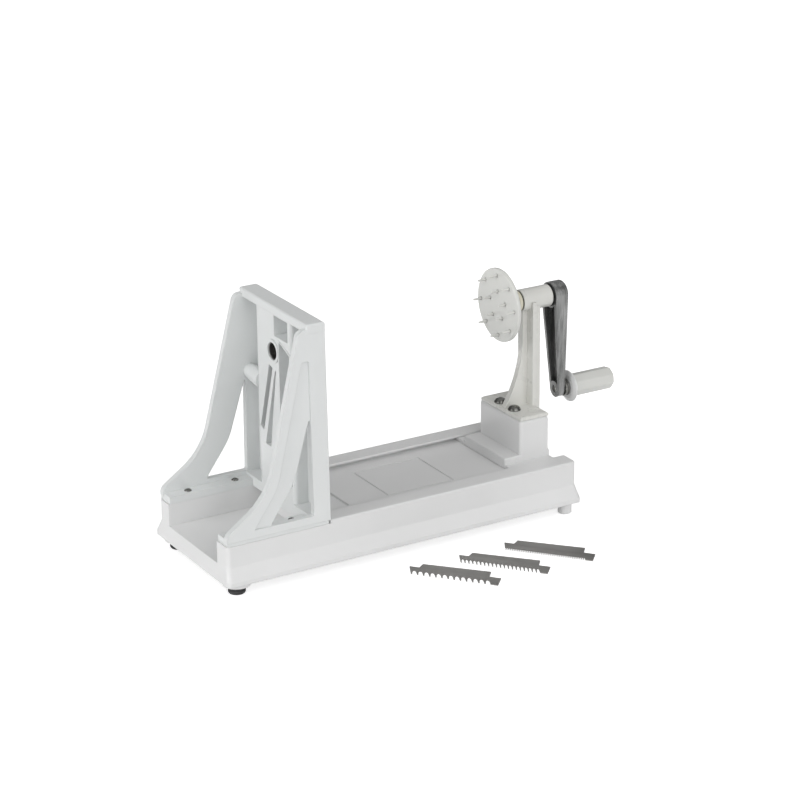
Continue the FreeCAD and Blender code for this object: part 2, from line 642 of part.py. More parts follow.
def base_channel():
    """The white base: two rails, undercut grooves, bed, trough and a hollow underside."""
    core = wide_box("core", "0", "foot_height + skirt_height", "base_length", RAIL_OUTER,
                    "base_height - skirt_height")
    core = rounded("core_round", core, "corner_round", upright)
    rail_top = number(RAIL_TOP)
    core = rounded("rail_edges", core, "rail_round", lambda e: at(e, "Z", rail_top))
    hollow = cut("base_hollow", fuse("base_solid", [core, skirt()]), base_tools())
    extra, holes = [], []
    for side, sign, _ in SIDES:
        x, y = "left_foot_inset", f"{sign}{LEFT_FOOT_Y}"
        extra.append(rod(f"boss_{side}", "foot_boss_radius", "foot_boss_drop + skirt_edge / 2", x, y,
                         BOSS_LOW))
        extra.append(rod(f"foot_post_{side}", "foot_post_radius", f"{SEAT_TOP} - foot_height - wall / 2",
                         x, y, "foot_height"))
        holes.append(rod(f"foot_hole_{side}", "foot_screw_radius", "foot_screw_length", x, y, BOSS_LOW))
        x, y = "base_length - right_foot_inset", f"{sign}{RIGHT_FOOT_Y}"
        extra.append(rod(f"peg_post_{side}", "peg_radius", "peg_spigot_length + wall", x, y,
                         "foot_height"))
        holes.append(rod(f"peg_hole_{side}", "peg_spigot_radius", "peg_spigot_length + wall / 2", x, y,
                         "foot_height"))
        for place in ("tower_screw_rear", "tower_screw_fore"):
            low = f"{SEAT_TOP} + flange_thickness - tower_screw_length"
            y = f"{sign}{TOWER_SCREW_Y}"
            extra.append(rod(f"screw_post_{side}_{place}", "tower_screw_radius + wall",
                             "tower_screw_length - flange_thickness", place, y, low))
            holes.append(rod(f"screw_hole_{side}_{place}", "tower_screw_radius", "tower_screw_length",
                             place, y, low))
    whole = fuse("base_whole", [hollow] + extra)
    keep("base_channel", cut("base_drilled", whole, holes))


def feet():
    """Two rubber feet with their screws, and two peg feet."""
    rubber, screws, pegs = [], [], []
    waist = "rubber_radius - rubber_waist"
    screw_low = "foot_screw_seat - foot_screw_height"
    neck = "peg_radius - peg_neck"
    for side, sign, _ in SIDES:
        x, y = "left_foot_inset", f"{sign}{LEFT_FOOT_Y}"
        rubber.append(turned(f"rubber_{side}", [
            ("foot_screw_head", "0"), ("rubber_radius - rubber_edge", "0"),
            ("rubber_radius", "rubber_edge"), ("rubber_radius", "rubber_edge * 3"),
            (waist, "rubber_edge * 4"), (waist, "rubber_edge * 6"), ("rubber_radius", "rubber_edge * 7"),
            ("rubber_radius", BOSS_LOW), ("foot_screw_radius", BOSS_LOW),
            ("foot_screw_radius", "foot_screw_seat"), ("foot_screw_head", "foot_screw_seat"),
        ], x, y, "0"))
        screws.append(turned(f"foot_screw_{side}", [
            ("0", screw_low), ("foot_screw_head", screw_low), ("foot_screw_head", "foot_screw_seat"),
            ("foot_screw_radius", "foot_screw_seat"),
            ("foot_screw_radius", "foot_screw_seat + foot_screw_length"),
            ("0", "foot_screw_seat + foot_screw_length"),
        ], x, y, "0"))
        spigot = "foot_height + peg_spigot_length"
        pegs.append(turned(f"peg_{side}", [
            ("0", "0"), (neck, "0"), ("peg_radius", "peg_neck"),
            ("peg_radius", "foot_height - 2 * peg_neck"), (neck, "foot_height - 2 * peg_neck"),
            (neck, "foot_height - peg_neck"), ("peg_radius", "foot_height - peg_neck"),
            ("peg_radius", "foot_height"), ("peg_spigot_radius", "foot_height"),
            ("peg_spigot_radius", spigot), ("0", spigot),
        ], "base_length - right_foot_inset", f"{sign}{RIGHT_FOOT_Y}", "0"))
    keep("rubber_feet", group("rubber_pair", rubber))
    keep("foot_screws", group("foot_screw_pair", screws))
    keep("peg_feet", group("peg_pair", pegs))


def gusset(side, sign):
    """One leaning side wall with its window and sunk panel."""
    half, wall = number(RAIL_OUTER), number("gusset_wall")
    low = f"({SEAT_TOP} + flange_thickness / 2)"
    crown = f"({TOWER_TOP} - crown_drop)"
    sill = f"({SEAT_TOP} + window_bottom_rise)"
    peak = f"({SEAT_TOP} + window_top_rise)"
    plate = slab_y([
        ("toe_x", low, "0"), ("toe_x", f"{SEAT_TOP} + toe_rise", "toe_round"),
        ("heel_x", f"{SEAT_TOP} + heel_rise", "heel_round"), ("crown_x", crown, "crown_round"),
        ("tower_front", crown, "0"), ("tower_front", low, "0"),
    ], half - wall, wall)
    window = slab_y([
        ("window_right", sill, "window_round"), ("window_right", peak, "0"),
        ("window_right - window_tip", peak, "0"),
        ("window_bend_x", f"{SEAT_TOP} + window_bend_rise", "window_bend_round"),
        ("window_left", sill, "window_round"),
    ], half - wall * 2, wall * 3)
    panel_top = f"({SEAT_TOP} + panel_top_rise)"
    panel = slab_y([
        ("window_right", sill, "window_round"), ("window_right", panel_top, "window_round"),
        ("panel_crown_x", panel_top, "window_round"),
        ("panel_heel_x", f"{SEAT_TOP} + panel_heel_rise", "panel_heel_round"),
        ("panel_left", sill, "0"),
    ], half - number("gusset_recess"), wall)
    shape = plate.cut(window).cut(panel)
    lean = math.degrees(math.atan2(number("tower_lean"), number("tower_height + step_drop")))
    shape.rotate(Vector(0, half, number(SEAT_TOP)), Vector(1, 0, 0), lean)
    if sign < 0:
        shape = shape.mirror(Vector(), Vector(0, 1, 0))
    return feature(f"gusset_{side}", shape)


def tower_plate():
    """The front plate, narrower at the top."""
    plate = doc.addObject("Part::Wedge", "plate")
    half = f"({RAIL_OUTER} - gusset_wall / 2)"
    rise = "(tower_height + step_drop - beam_height / 2)"
    lean = f"tower_lean * {rise} / (tower_height + step_drop)"
    for prop, text in (
        ("Xmin", "tower_front - skin"), ("Xmax", "tower_front"),
        ("X2min", "tower_front - skin"), ("X2max", "tower_front"),
        ("Zmin", f"-{half}"), ("Zmax", half), ("Z2min", f"{lean} - {half}"),
        ("Z2max", f"{half} - {lean}"), ("Ymin", "0"), ("Ymax", rise),
    ):
        bind(plate, prop, text)
    return put(plate, z=SEAT_TOP, turn=BACK_Y)


def along_blade(name, parts):
    """Pieces drawn upright about the slot's middle, tilted into the straight blade's lie."""
    whole = parts[0] if len(parts) == 1 else group(name, parts)
    return put(whole, y="slot_y", z=SLOT_Z, turn=Rotation(Vector(1, 0, 0), number("slot_tilt")))


def blade_slot():
    """The slot behind the straight blade."""
    slot = box("slot", f"{TOWER_REAR} - wall", "-slot_width / 2", "-slot_length / 2",
               "skin + rib_depth + wall * 2", "slot_width", "slot_length")
    return along_blade("slot_set", [group("slot_alone", [slot])])


def blade_screw_rods(name, radius, length, x):
    """Two upright-spaced rods along X where the straight blade's screws sit."""
    rods = [rod(f"{name}_{end}", radius, length, x, "blade_screw_shift", f"{sign}blade_screw_pitch / 2",
                ALONG_X) for end, sign in (("low", "-"), ("high", ""))]
    return along_blade(name, rods)


def pocket_corners():
    """The five-sided pocket's corners as (y, z, round)."""
    peak = f"({SHAFT_Z} + pocket_rise)"
    foot = f"({peak} - pocket_length)"
    return [
        ("pocket_near", foot, "pocket_round"), ("pocket_far", foot, "pocket_round"),
        ("pocket_far", peak, "pocket_round"),
        ("pocket_near", f"{peak} - pocket_shoulder", "pocket_round"),
    ]


def rear_hollows():
    """The hollows that the rear of the tower's block shows."""
    rear = number(f"{TOWER_REAR} - wall")
    deep = number("rib_depth + wall")
    channel_low = f"({SHAFT_Z} + channel_rise)"
    channel_top = f"({TOWER_TOP} - beam_height)"
    flute_low = f"({SHAFT_Z} - flute_low_drop)"
    shapes = {
        "channel": slab_x([
            ("channel_left", channel_low, "pocket_round"),
            ("channel_right", channel_low, "pocket_round"),
            ("channel_right", channel_top, "0"), ("channel_left", channel_top, "0"),
        ], rear, deep),
        "pocket": slab_x(pocket_corners(), rear, deep),
        "flute": slab_x([
            ("flute_low_near", flute_low, "0"), ("flute_low_far", flute_low, "0"),
            ("flute_top_y + flute_tip", f"{SHAFT_Z} - flute_top_drop", "0"),
            ("flute_top_y - flute_tip", f"{SHAFT_Z} - flute_top_drop", "0"),
        ], rear, number("flute_depth + wall")),
    }
    hollows = [feature(name, shape) for name, shape in shapes.items()]
    hollows.append(box("bay", f"{TOWER_REAR} - wall", "bay_near", f"{SEAT_TOP} + bay_rise",
                       "rib_depth + wall", "bay_width", "bay_height"))
    return hollows


def comb_slot():
    """The upright slot through which a fitted comb's teeth reach the food."""
    foot = f"({SHAFT_Z} + pocket_rise - pocket_length)"
    return box("comb_slot", TOWER_REAR, "(pocket_near + pocket_far) / 2 - comb_slot_width / 2",
               f"{foot} + wall", "rib_depth + skin * 2", "comb_slot_width",
               "pocket_length - pocket_shoulder - wall * 2")


def pocket_outline():
    """The thin raised outline round the comb pocket."""
    peak = f"({SHAFT_Z} + pocket_rise + pocket_rim)"
    foot = f"({SHAFT_Z} + pocket_rise - pocket_length - pocket_rim)"
    near, far = "(pocket_near - pocket_rim)", "(pocket_far + pocket_rim)"
    slab = slab_x([
        (near, foot, "pocket_round"), (far, foot, "pocket_round"), (far, peak, "pocket_round"),
        (near, f"{peak} - pocket_shoulder", "pocket_round"),
    ], number(f"{TOWER_REAR} - pocket_rim / 2"), number("pocket_rim"))
    inside = slab_x(pocket_corners(), number(f"{TOWER_REAR} - wall"), number("wall * 2"))
    return feature("pocket_outline", slab.cut(inside))


def tower_frame():
    """The upright plate with its beam, ribs, gussets and foot flanges, one moulding."""
    top, rear = number(TOWER_TOP), number("tower_front - beam_depth")
    beam = wide_box("beam", "tower_front - beam_depth", f"{TOWER_TOP} - beam_height", "beam_depth",
                    f"{RAIL_OUTER} - tower_lean + beam_overhang", "beam_height")
    beam = rounded("beam_edges", beam, "beam_round", lambda e: at(e, "Z", top) or at(e, "X", rear))
    block = wide_box("block_body", TOWER_REAR, BED_TOP, "rib_depth + skin / 2", "block_half",
                     f"{TOWER_TOP} - {BED_TOP} - beam_height / 2")
    block_rear = number(TOWER_REAR)
    block = rounded("block", block, "block_round", lambda e: upright(e) and at(e, "X", block_rear))
    foot = wide_box("plate_foot", "tower_front - skin", BED_TOP, "skin", f"{RAIL_INNER} - slide_gap",
                    f"{SEAT_TOP} - {BED_TOP} + wall")
    sill = wide_box("cross_sill", TOWER_REAR, SEAT_TOP, "rib_depth + skin / 2",
                    f"{RAIL_OUTER} - gusset_wall / 2", "sill_height")
    slots = [comb_slot(), blade_slot()]
    core = cut("core_hollowed", join("core_solid", [block, sill]), rear_hollows() + slots)
    shell = cut("shell_pierced", join("shell_solid", [tower_plate(), beam, foot]), slots)
    parts = [shell, gusset("near", -1), gusset("far", 1), core, pocket_outline()]
    for side, sign, _ in SIDES:
        low = f"flange_inset - {RAIL_OUTER}" if sign else RAIL_INNER
        parts.append(box(f"flange_{side}", "toe_x + flange_inset", low, SEAT_TOP,
                         "tower_front - toe_x - flange_inset - skin / 2", "rail_width - flange_inset",
                         "flange_thickness"))
        parts.append(cone(f"cross_boss_{side}", "cross_boss_radius", "cross_boss_tip",
                          f"{RAIL_OUTER} - tower_lean - block_half + wall", "clamp_x",
                          f"{sign}(block_half - wall)", CLAMP_Z, BACK_Y if sign else ALONG_Y))
    parts.append(rod("clamp_pad", "clamp_pad_radius", "gusset_wall", "clamp_x",
                     f"{CLAMP_PAD_Y} - gusset_wall", CLAMP_Z, ALONG_Y))
    parts.append(blade_screw_rods("blade_pads", "blade_pad_radius", "skin / 2 + blade_gap",
                                  "tower_front - skin / 2"))
    parts.append(rod("bore_ring_rear", "corer_radius + bore_ring", "bore_ring * 1.5",
                     f"{TOWER_REAR} - bore_ring / 2", "0", SHAFT_Z, ALONG_X))
    tools = [
        rod("corer_bore", "corer_radius", "rib_depth + skin + wall * 2", f"{TOWER_REAR} - wall", "0",
            SHAFT_Z, ALONG_X),
        rod("clamp_bore", "clamp_screw_radius + shaft_clearance", "base_width", "clamp_x",
            "clamp_tip_y - wall / 2", CLAMP_Z, ALONG_Y),
        rod("insert_bore", "insert_radius", "insert_length * 2", "clamp_x",
            f"{CLAMP_PAD_Y} - insert_length", CLAMP_Z, ALONG_Y),
        blade_screw_rods("blade_screw_bores", "blade_screw_radius", "skin + wall * 3",
                         "tower_front - skin - wall"),
    ]
    for side, sign, _ in SIDES:
        for place in ("tower_screw_rear", "tower_screw_fore"):
            tools.append(rod(f"flange_hole_{side}_{place}", "tower_screw_radius", "flange_thickness * 3",
                             place, f"{sign}{TOWER_SCREW_Y}", f"{SEAT_TOP} - flange_thickness"))
    keep("tower_frame", carve("tower_cut", join("tower_solid", parts), tools))


def tower_fittings():
    """Flange screws, corer tube, straight blade with its screws, and the clamp."""
    screws = []
    for side, sign, _ in SIDES:
        for place in ("tower_screw_rear", "tower_screw_fore"):
            name, y = f"flange_screw_{side}_{place}", f"{sign}{TOWER_SCREW_Y}"
            top = f"({SEAT_TOP} + flange_thickness)"
            shank = rod(f"{name}_shank", "tower_screw_radius",
                        "tower_screw_length - wall / 2 + tower_screw_dome / 2", place, y,
                        f"{top} - tower_screw_length + wall / 2")
            head = dome(f"{name}_head", "tower_screw_head", "tower_screw_dome", place, y, top)
            screws.append(fuse(name, [shank, head]))
    keep("tower_screws", group("tower_screw_set", screws))
    keep("corer_tube", ring("corer", "corer_radius - corer_wall", "corer_radius",
                            "corer_reach + rib_depth + skin", TOWER_REAR))
    face = "(tower_front + blade_gap)"
    plate = box("blade_plate", face, "blade_shift - blade_width / 2", "-blade_length / 2",
                "blade_thickness", "blade_width", "blade_length")
    edge_y, face_x = number("blade_shift - blade_width / 2"), number(f"{face} + blade_thickness")
    plate = rounded("blade_edge", plate, "blade_bevel",
                    lambda e: at(e, "Y", edge_y) and at(e, "X", face_x), "Part::Chamfer")
    holes, heads = [], []
    for end, sign in (("low", "-"), ("high", "")):
        z = f"{sign}blade_screw_pitch / 2"
        holes.append(rod(f"blade_eye_{end}", "blade_screw_radius", "wall * 2", f"{face} - wall",
                         "blade_screw_shift", z, ALONG_X))
        heads.append(turned(f"blade_screw_{end}", [
            ("0", "0"), ("blade_screw_radius", "0"), ("blade_screw_radius", "blade_screw_length"),
            ("blade_screw_head", "blade_screw_length"),
            ("blade_screw_head", "blade_screw_length + blade_screw_height / 2"),
            ("blade_screw_crown", "blade_screw_length + blade_screw_height"),
            ("0", "blade_screw_length + blade_screw_height"),
        ], f"{face} + blade_thickness - blade_screw_length", "blade_screw_shift", z, ALONG_X))
    keep("slicing_blade", along_blade("blade", [cut("blade_drilled", plate, holes)]))
    keep("blade_screws", along_blade("blade_screw_pair", heads))
    keep("clamp_insert", ring("insert", "clamp_screw_radius + shaft_clearance", "insert_radius",
                              "insert_length", "clamp_x", f"{CLAMP_PAD_Y} - insert_length", CLAMP_Z,
                              ALONG_Y))
    reach = f"({CLAMP_PAD_Y} + slide_gap + knob_length - clamp_tip_y - wall)"
    keep("clamp_screw", turned("thumb_screw", [
        ("0", "0"), ("clamp_screw_radius - shaft_chamfer", "0"), ("clamp_screw_radius", "shaft_chamfer"),
        ("clamp_screw_radius", reach), ("0", reach),
    ], "clamp_x", "clamp_tip_y", CLAMP_Z, ALONG_Y))
    knob_y = f"({CLAMP_PAD_Y} + slide_gap)"
    body = turned("knob_body", [
        ("0", "0"), ("knob_neck", "0"), ("knob_neck", "knob_length / 4"),
        ("knob_radius", "knob_length / 4"), ("knob_radius", "knob_length"), ("0", "knob_length"),
    ], "clamp_x", knob_y, CLAMP_Z, ALONG_Y)
    hollows = [rod(f"knob_hollow_{i}", "knob_hollow", "knob_length * 2",
                   f"clamp_x + (knob_radius + knob_hollow * 0.45) * cos({i} * 360 / knob_lobes)",
                   f"{knob_y} - wall",
                   f"{CLAMP_Z} + (knob_radius + knob_hollow * 0.45) * sin({i} * 360 / knob_lobes)", ALONG_Y)
               for i in range(int(number("knob_lobes")))]
    hollows.append(rod("knob_bore", "clamp_screw_radius", f"{reach}", "clamp_x", "clamp_tip_y", CLAMP_Z,
                       ALONG_Y))
    keep("clamp_knob", cut("knob_cut", body, hollows))


def carriage():
    """The sliding block with its tongues, and the post that carries the crank."""
    plate = wide_box("foot_slab", "carriage_front", FOOT_LOW, "carriage_rear - carriage_front",
                     "carriage_half", "foot_plate")
    plate_low = number(FOOT_LOW)
    plate = rounded("foot_round", plate, "pedestal_round / 2",
                    lambda e: not at(e, "Z", plate_low) and not at(e, "X", number("carriage_rear")))
    tongue = wide_box("tongue", "carriage_front", FOOT_LOW, "carriage_rear - carriage_front",
                      f"{RAIL_INNER} + groove_depth - slide_gap",
                      "bed_drop - lip_thickness - slide_gap * 2")
    pedestal = wide_box("pedestal_body", "pedestal_front", FOOT_LOW, "carriage_rear - pedestal_front",
                        "carriage_half", "foot_plate + pedestal_height")
    top = number(PEDESTAL_TOP)
    pedestal = rounded("pedestal", pedestal, "pedestal_round", lambda e: upright(e) or at(e, "Z", top))
    hollow = wide_box("pedestal_hollow", "pedestal_front + pedestal_wall", "0",
                      "carriage_rear - pedestal_front - pedestal_wall * 2",
                      "carriage_half - pedestal_wall", f"{PEDESTAL_TOP} - pedestal_wall")
    holes = []
    for side, sign, _ in SIDES:
        holes.append(rod(f"pedestal_hole_{side}", "dome_shank", FAR_PAST, "dome_screw_x",
                         f"{sign}dome_screw_y", "0"))
    block = fuse("carriage_solid", [plate, tongue, pedestal])
    keep("carriage_block", cut("carriage_cut", block, [hollow] + holes))


def crank_post():
    """The post's foot, web, flange, rear spine and bearing tube, one moulding."""
    cap = wide_box("cap_slab", "pedestal_front + cap_inset", PEDESTAL_TOP,
                   "carriage_rear - pedestal_front - cap_inset", "carriage_half - cap_inset",
                   "cap_thickness")
    cap_top = number(CAP_TOP)
    cap = rounded("cap", cap, "cap_chamfer", lambda e: at(e, "Z", cap_top), "Part::Chamfer")
    thick = number("web_half * 2")
    bend = f"({CAP_TOP} + brace_bend_rise)"
    web = feature("web", slab_y([
        ("brace_foot_x", f"{CAP_TOP} - wall / 2", "0"), ("brace_foot_x", CAP_TOP, "0"),
        ("brace_top_x", bend, "brace_round"), ("brace_top_x", SHAFT_Z, "0"),
        ("carriage_rear", SHAFT_Z, "0"), ("carriage_rear", f"{CAP_TOP} - wall / 2", "0"),
    ], -thick / 2, thick))
    flange = wide_box("post_flange", "post_flange_front", f"{CAP_TOP} - wall / 2",
                      "carriage_rear - post_flange_front", "post_flange_half",
                      f"{SHAFT_Z} - {CAP_TOP} + wall / 2")
    spine = wide_box("spine_body", "carriage_rear", f"{PEDESTAL_TOP} - spine_drop", "spine_depth",
                     "spine_half", f"{SHAFT_Z} - {PEDESTAL_TOP} + spine_drop")
    rear = number("carriage_rear + spine_depth")
    spine = rounded("spine", spine, "pedestal_round / 2", lambda e: upright(e) and at(e, "X", rear))
    tube = rod("tube", "tube_radius", "tube_length", "tube_start", "0", SHAFT_Z, ALONG_X)
    solid = fuse("post_solid", [cap, web, flange, spine, tube])
    tools = [rod("tube_bore", BUSH_RADIUS, "tube_length * 2", "tube_start - wall", "0", SHAFT_Z, ALONG_X)]
    for side, sign, _ in SIDES:
        tools.append(rod(f"cap_hole_{side}", "dome_shank", "cap_thickness * 3", "dome_screw_x",
                         f"{sign}dome_screw_y", f"{PEDESTAL_TOP} - cap_thickness"))
    keep("crank_post", cut("post_cut", solid, tools))


def carriage_fittings():
    """Dome screws with their nuts, and the two bearing bushes."""
    screws, nuts = [], []
    for side, sign, _ in SIDES:
        x, y = "dome_screw_x", f"{sign}dome_screw_y"
        shank = rod(f"dome_shank_{side}", "dome_shank", "dome_length + dome_height / 2", x, y,
                    f"{CAP_TOP} - dome_length")
        screws.append(fuse(f"dome_screw_{side}", [
            shank, dome(f"dome_head_{side}", "dome_radius", "dome_height", x, y, CAP_TOP)]))
        low = f"{PEDESTAL_TOP} - pedestal_wall - nut_height"
        nut = prism(f"nut_body_{side}", "6", "nut_flats", "nut_height", x, y, low,
                    Rotation(Vector(0, 0, 1), 30))
        nuts.append(cut(f"nut_{side}", nut, [rod(f"nut_bore_{side}", "dome_shank", "nut_height * 3", x, y,
                                                 f"{low} - nut_height")]))
    keep("dome_screws", group("dome_screw_pair", screws))
    keep("post_nuts", group("nut_pair", nuts))
    bore = "(shaft_radius + shaft_clearance)"
    corners = [(bore, "0"), ("bush_rim", "0"), ("bush_rim", "bush_flange"), (BUSH_RADIUS, "bush_flange"),
               (BUSH_RADIUS, "bush_flange + bush_length"), (bore, "bush_flange + bush_length")]
    keep("front_bush", turned("bush_front", corners, "tube_start - bush_flange", "0", SHAFT_Z, ALONG_X))
    keep("rear_bush", turned("bush_rear", corners, f"{TUBE_END} + bush_flange", "0", SHAFT_Z, BACK_X))


def prongs(name, count, circle, turn, length):
    """A ring of tapered prongs on the disc's face."""
    ring_of = []
    for i in range(int(number(count))):
        angle = f"({turn} + {i} * 360 / {count})"
        ring_of.append(cone(f"{name}_{i}", "prong_radius", "prong_tip", f"{length} + disc_edge",
                            "disc_face + disc_edge", f"{circle} * cos({angle})",
                            f"{SHAFT_Z} + {circle} * sin({angle})", BACK_X))
    return ring_of


def arm_outline(name, near, far, start, depth):
    """The tapering outline of the arm between two radii, extruded along X."""
    first, last, big, small = (number(text) for text in (SHAFT_Z, HANDLE_Z, near, far))
    span = first - last
    lean = math.asin((big - small) / span)
    across, along = math.cos(lean), math.sin(lean)

    def point(y, z):
        return Vector(start, y, z)

    upper = [point(sign * big * across, first - big * along) for sign in (-1, 1)]
    lower = [point(sign * small * across, last - small * along) for sign in (-1, 1)]
    wire = Part.Wire([
        Part.LineSegment(lower[0], upper[0]).toShape(),
        Part.Arc(upper[0], point(0, first + big), upper[1]).toShape(),
        Part.LineSegment(upper[1], lower[1]).toShape(),
        Part.Arc(lower[1], point(0, last - small), lower[0]).toShape(),
    ])
    return feature(name, Part.Face(wire).extrude(Vector(depth, 0, 0)))


def crank():
    """Drive shaft, prong disc, collar, washer, arm, handle pin and its retaining ring."""
    start = "(disc_face + hub_skin)"
    length = f"({ARM_X} + arm_seat - {start})"
    keep("drive_shaft", turned("shaft", [
        ("0", "0"), ("shaft_radius - shaft_chamfer", "0"), ("shaft_radius", "shaft_chamfer"),
        ("shaft_radius", f"{length} - shaft_chamfer"), ("shaft_radius - shaft_chamfer", length),
        ("0", length),
    ], start, "0", SHAFT_Z, ALONG_X))
    disc = turned("disc_body", [
        ("0", "0"), ("disc_radius - disc_edge", "0"), ("disc_radius", "disc_edge"),
        ("disc_radius", "disc_thickness - disc_edge / 2"),
        ("disc_radius - disc_edge / 2", "disc_thickness"),
        ("disc_hub_radius + disc_edge", "disc_thickness"),
        ("disc_hub_radius", "disc_thickness + disc_edge"),
        ("disc_hub_radius", f"{COLLAR_X} - disc_face"), ("0", f"{COLLAR_X} - disc_face"),
    ], "disc_face", "0", SHAFT_Z, ALONG_X)
    outer = prongs("outer_prong", "outer_prongs", "outer_prong_circle", "outer_prong_turn", "prong_length")
    inner = prongs("inner_prong", "inner_prongs", "inner_prong_circle", "inner_prong_turn",
                   "inner_prong_length")
    seat = rod("disc_seat", "shaft_radius", FAR_PAST, start, "0", SHAFT_Z, ALONG_X)
    keep("prong_disc", cut("disc_bored", fuse("disc_solid", [disc] + outer + inner), [seat]))
    keep("disc_collar", ring("collar", "shaft_radius", "collar_radius", "collar_length", COLLAR_X))
    keep("seal_washer", ring("washer", "shaft_radius", "washer_radius", "washer_thickness", WASHER_X))

    solid = arm_outline("arm_solid", "arm_hub_radius", "arm_end_radius", number(ARM_X),
                        number("arm_depth"))
    end = number(ARM_END)
    solid = rounded("arm_rounded", solid, "arm_round", lambda e: at(e, "X", end))
    channel = arm_outline("arm_channel_full", "arm_hub_radius - arm_wall", "arm_end_radius - arm_wall",
                          number(f"{ARM_X} - wall"), number("arm_depth - arm_wall + wall"))
    hub = rod("arm_hub_keep", "arm_hub_radius", FAR_PAST, "0", "0", SHAFT_Z, ALONG_X)
    seat = rod("arm_pin_keep", "arm_end_radius", FAR_PAST, "0", "0", HANDLE_Z, ALONG_X)
    channel = cut("arm_channel", channel, [hub, seat])
    slant = feature("arm_slant", slab_y([
        (f"{ARM_X} - wall", f"{SHAFT_Z} - arm_hub_radius", "0"),
        (ARM_X, f"{SHAFT_Z} - arm_hub_radius", "0"),
        (f"{ARM_X} + arm_end_step", HANDLE_Z, "0"),
        (f"{ARM_X} + arm_end_step", f"{HANDLE_Z} - arm_hub_radius", "0"),
        (f"{ARM_X} - wall", f"{HANDLE_Z} - arm_hub_radius", "0"),
    ], -number("arm_hub_radius * 2"), number("arm_hub_radius * 4")))
    tools = [
        channel, slant,
        rod("arm_bore", "shaft_radius", "arm_seat + wall", f"{ARM_X} - wall", "0", SHAFT_Z, ALONG_X),
        rod("pin_bore", "pin_radius", FAR_PAST, ARM_X, "0", HANDLE_Z, ALONG_X),
        rod("arm_screw_bore", "arm_screw_radius", "arm_hub_radius", f"{ARM_X} + arm_seat / 2", "0",
            SHAFT_Z, ALONG_Y),
    ]
    keep("crank_arm", cut("arm_cut", solid, tools))
    keep("arm_set_screw", rod("set_screw", "arm_screw_radius",
                              "arm_hub_radius - shaft_radius - shaft_chamfer",
                              f"{ARM_X} + arm_seat / 2", "shaft_radius", SHAFT_Z, ALONG_Y))
    back = f"({ARM_END} - {PIN_START})"
    tail = f"({CHAMBER_X} + clip_thickness * 2 + slide_gap - {PIN_START})"
    keep("handle_pin", turned("pin", [
        ("0", "0"), ("pin_radius", "0"), ("pin_radius", back), ("pin_boss_radius", back),
        ("pin_boss_radius", f"{back} + pin_boss_length - shaft_chamfer"),
        ("pin_boss_radius - shaft_chamfer", f"{back} + pin_boss_length"),
        ("pin_radius", f"{back} + pin_boss_length"), ("pin_radius", tail), ("0", tail),
    ], PIN_START, "0", HANDLE_Z, ALONG_X))
    keep("grip_clip", ring("clip", "pin_radius", "clip_radius", "clip_thickness",
                           f"{CHAMBER_X} + slide_gap", "0", HANDLE_Z))


def grip():
    """The collar, the eight-sided handle and its end plug, which turn on the pin."""
    keep("handle_collar", ring("grip_collar", GRIP_BORE, "grip_collar_radius", "grip_collar_length",
                               GRIP_COLLAR_X, "0", HANDLE_Z))
    body = prism("grip_body", "grip_sides", "grip_flats", "grip_length", "0", "0", "0",
                 Rotation(Vector(0, 0, 1), 180 / number("grip_sides")))
    far = number("grip_length")
    body = rounded("grip_rounded", body, "grip_round", lambda e: at(e, "Z", far))
    bores = [rod("grip_bore", GRIP_BORE, "grip_length * 2", "0", "0", "-wall"),
             rod("grip_chamber", "chamber_radius", "grip_length", "0", "0", "grip_length - chamber_depth")]
    keep("handle_grip", put(cut("grip_cut", body, bores), GRIP_X, "0", HANDLE_Z, ALONG_X))
    keep("grip_plug", rod("plug", "chamber_radius", "plug_length",
                          f"{GRIP_END} - plug_length - shaft_chamfer", "0", HANDLE_Z, ALONG_X))


def comb(node, teeth, tooth):
    """One spare comb, a flat toothed strip with two tabs, lying on the table."""
    count, height = int(number(teeth)), number(tooth)
    long, tab = number("comb_toothed"), number("comb_tab_height")
    slant, left, right = (number(k) for k in ("comb_tab_slant", "comb_left_tab", "comb_right_tab"))
    end, back, skew = (number(k) for k in ("comb_right_end", "comb_back", "comb_skew"))
    pitch = long / count
    tip, neck, crown = (number(f"{key} * {pitch}") for key in ("tooth_tip", "tooth_neck", "tooth_crown"))
    points = []
    for start in (i * pitch for i in range(count)):
        points += [
            (start, 0), (start + tip, 0), (start + tip + neck, height - crown),
            (start + tip + neck * 2, height), (start + pitch - neck * 2, height),
            (start + pitch - neck, height - crown),
        ]
    points += [
        (long, 0), (end, 0), (end - slant / 2, tab), (right, tab), (right - slant / 2, back + skew),
        (left + slant / 4, back), (left, tab), (-slant, tab),
    ]
    wire = Part.makePolygon([Vector(u, v, 0) for u, v in points + points[:1]])
    strip = feature(f"{node}_strip", Part.Face(wire).extrude(Vector(0, 0, number("comb_thickness"))))
    name = node.split("_")[1]
    keep(node, put(strip, f"{name}_x", f"{name}_y", "0", Rotation(Vector(0, 0, 1), number("comb_turn"))))


def write_parts():
    """Checks every object and writes one STEP file for each sub-part."""
    doc.recompute()
    faults = [f"{obj.Name}: {obj.State}" for obj in doc.Objects
              if "Invalid" in obj.State or "Error" in obj.State]
    faults += [node for node, obj in NODES.items() if obj.Shape.isNull() or not obj.Shape.isValid()]
    if faults:
        raise RuntimeError("; ".join(faults))
    os.makedirs("parts", exist_ok=True)
    for node, obj in NODES.items():
        obj.Shape.exportStep(f"parts/{node}.step")


base_channel()
feet()
tower_frame()
tower_fittings()
carriage()
crank_post()
carriage_fittings()
crank()
grip()
comb("comb_coarse", "coarse_teeth", "coarse_tooth")
comb("comb_medium", "medium_teeth", "medium_tooth")
comb("comb_fine", "fine_teeth", "fine_tooth")
write_parts()
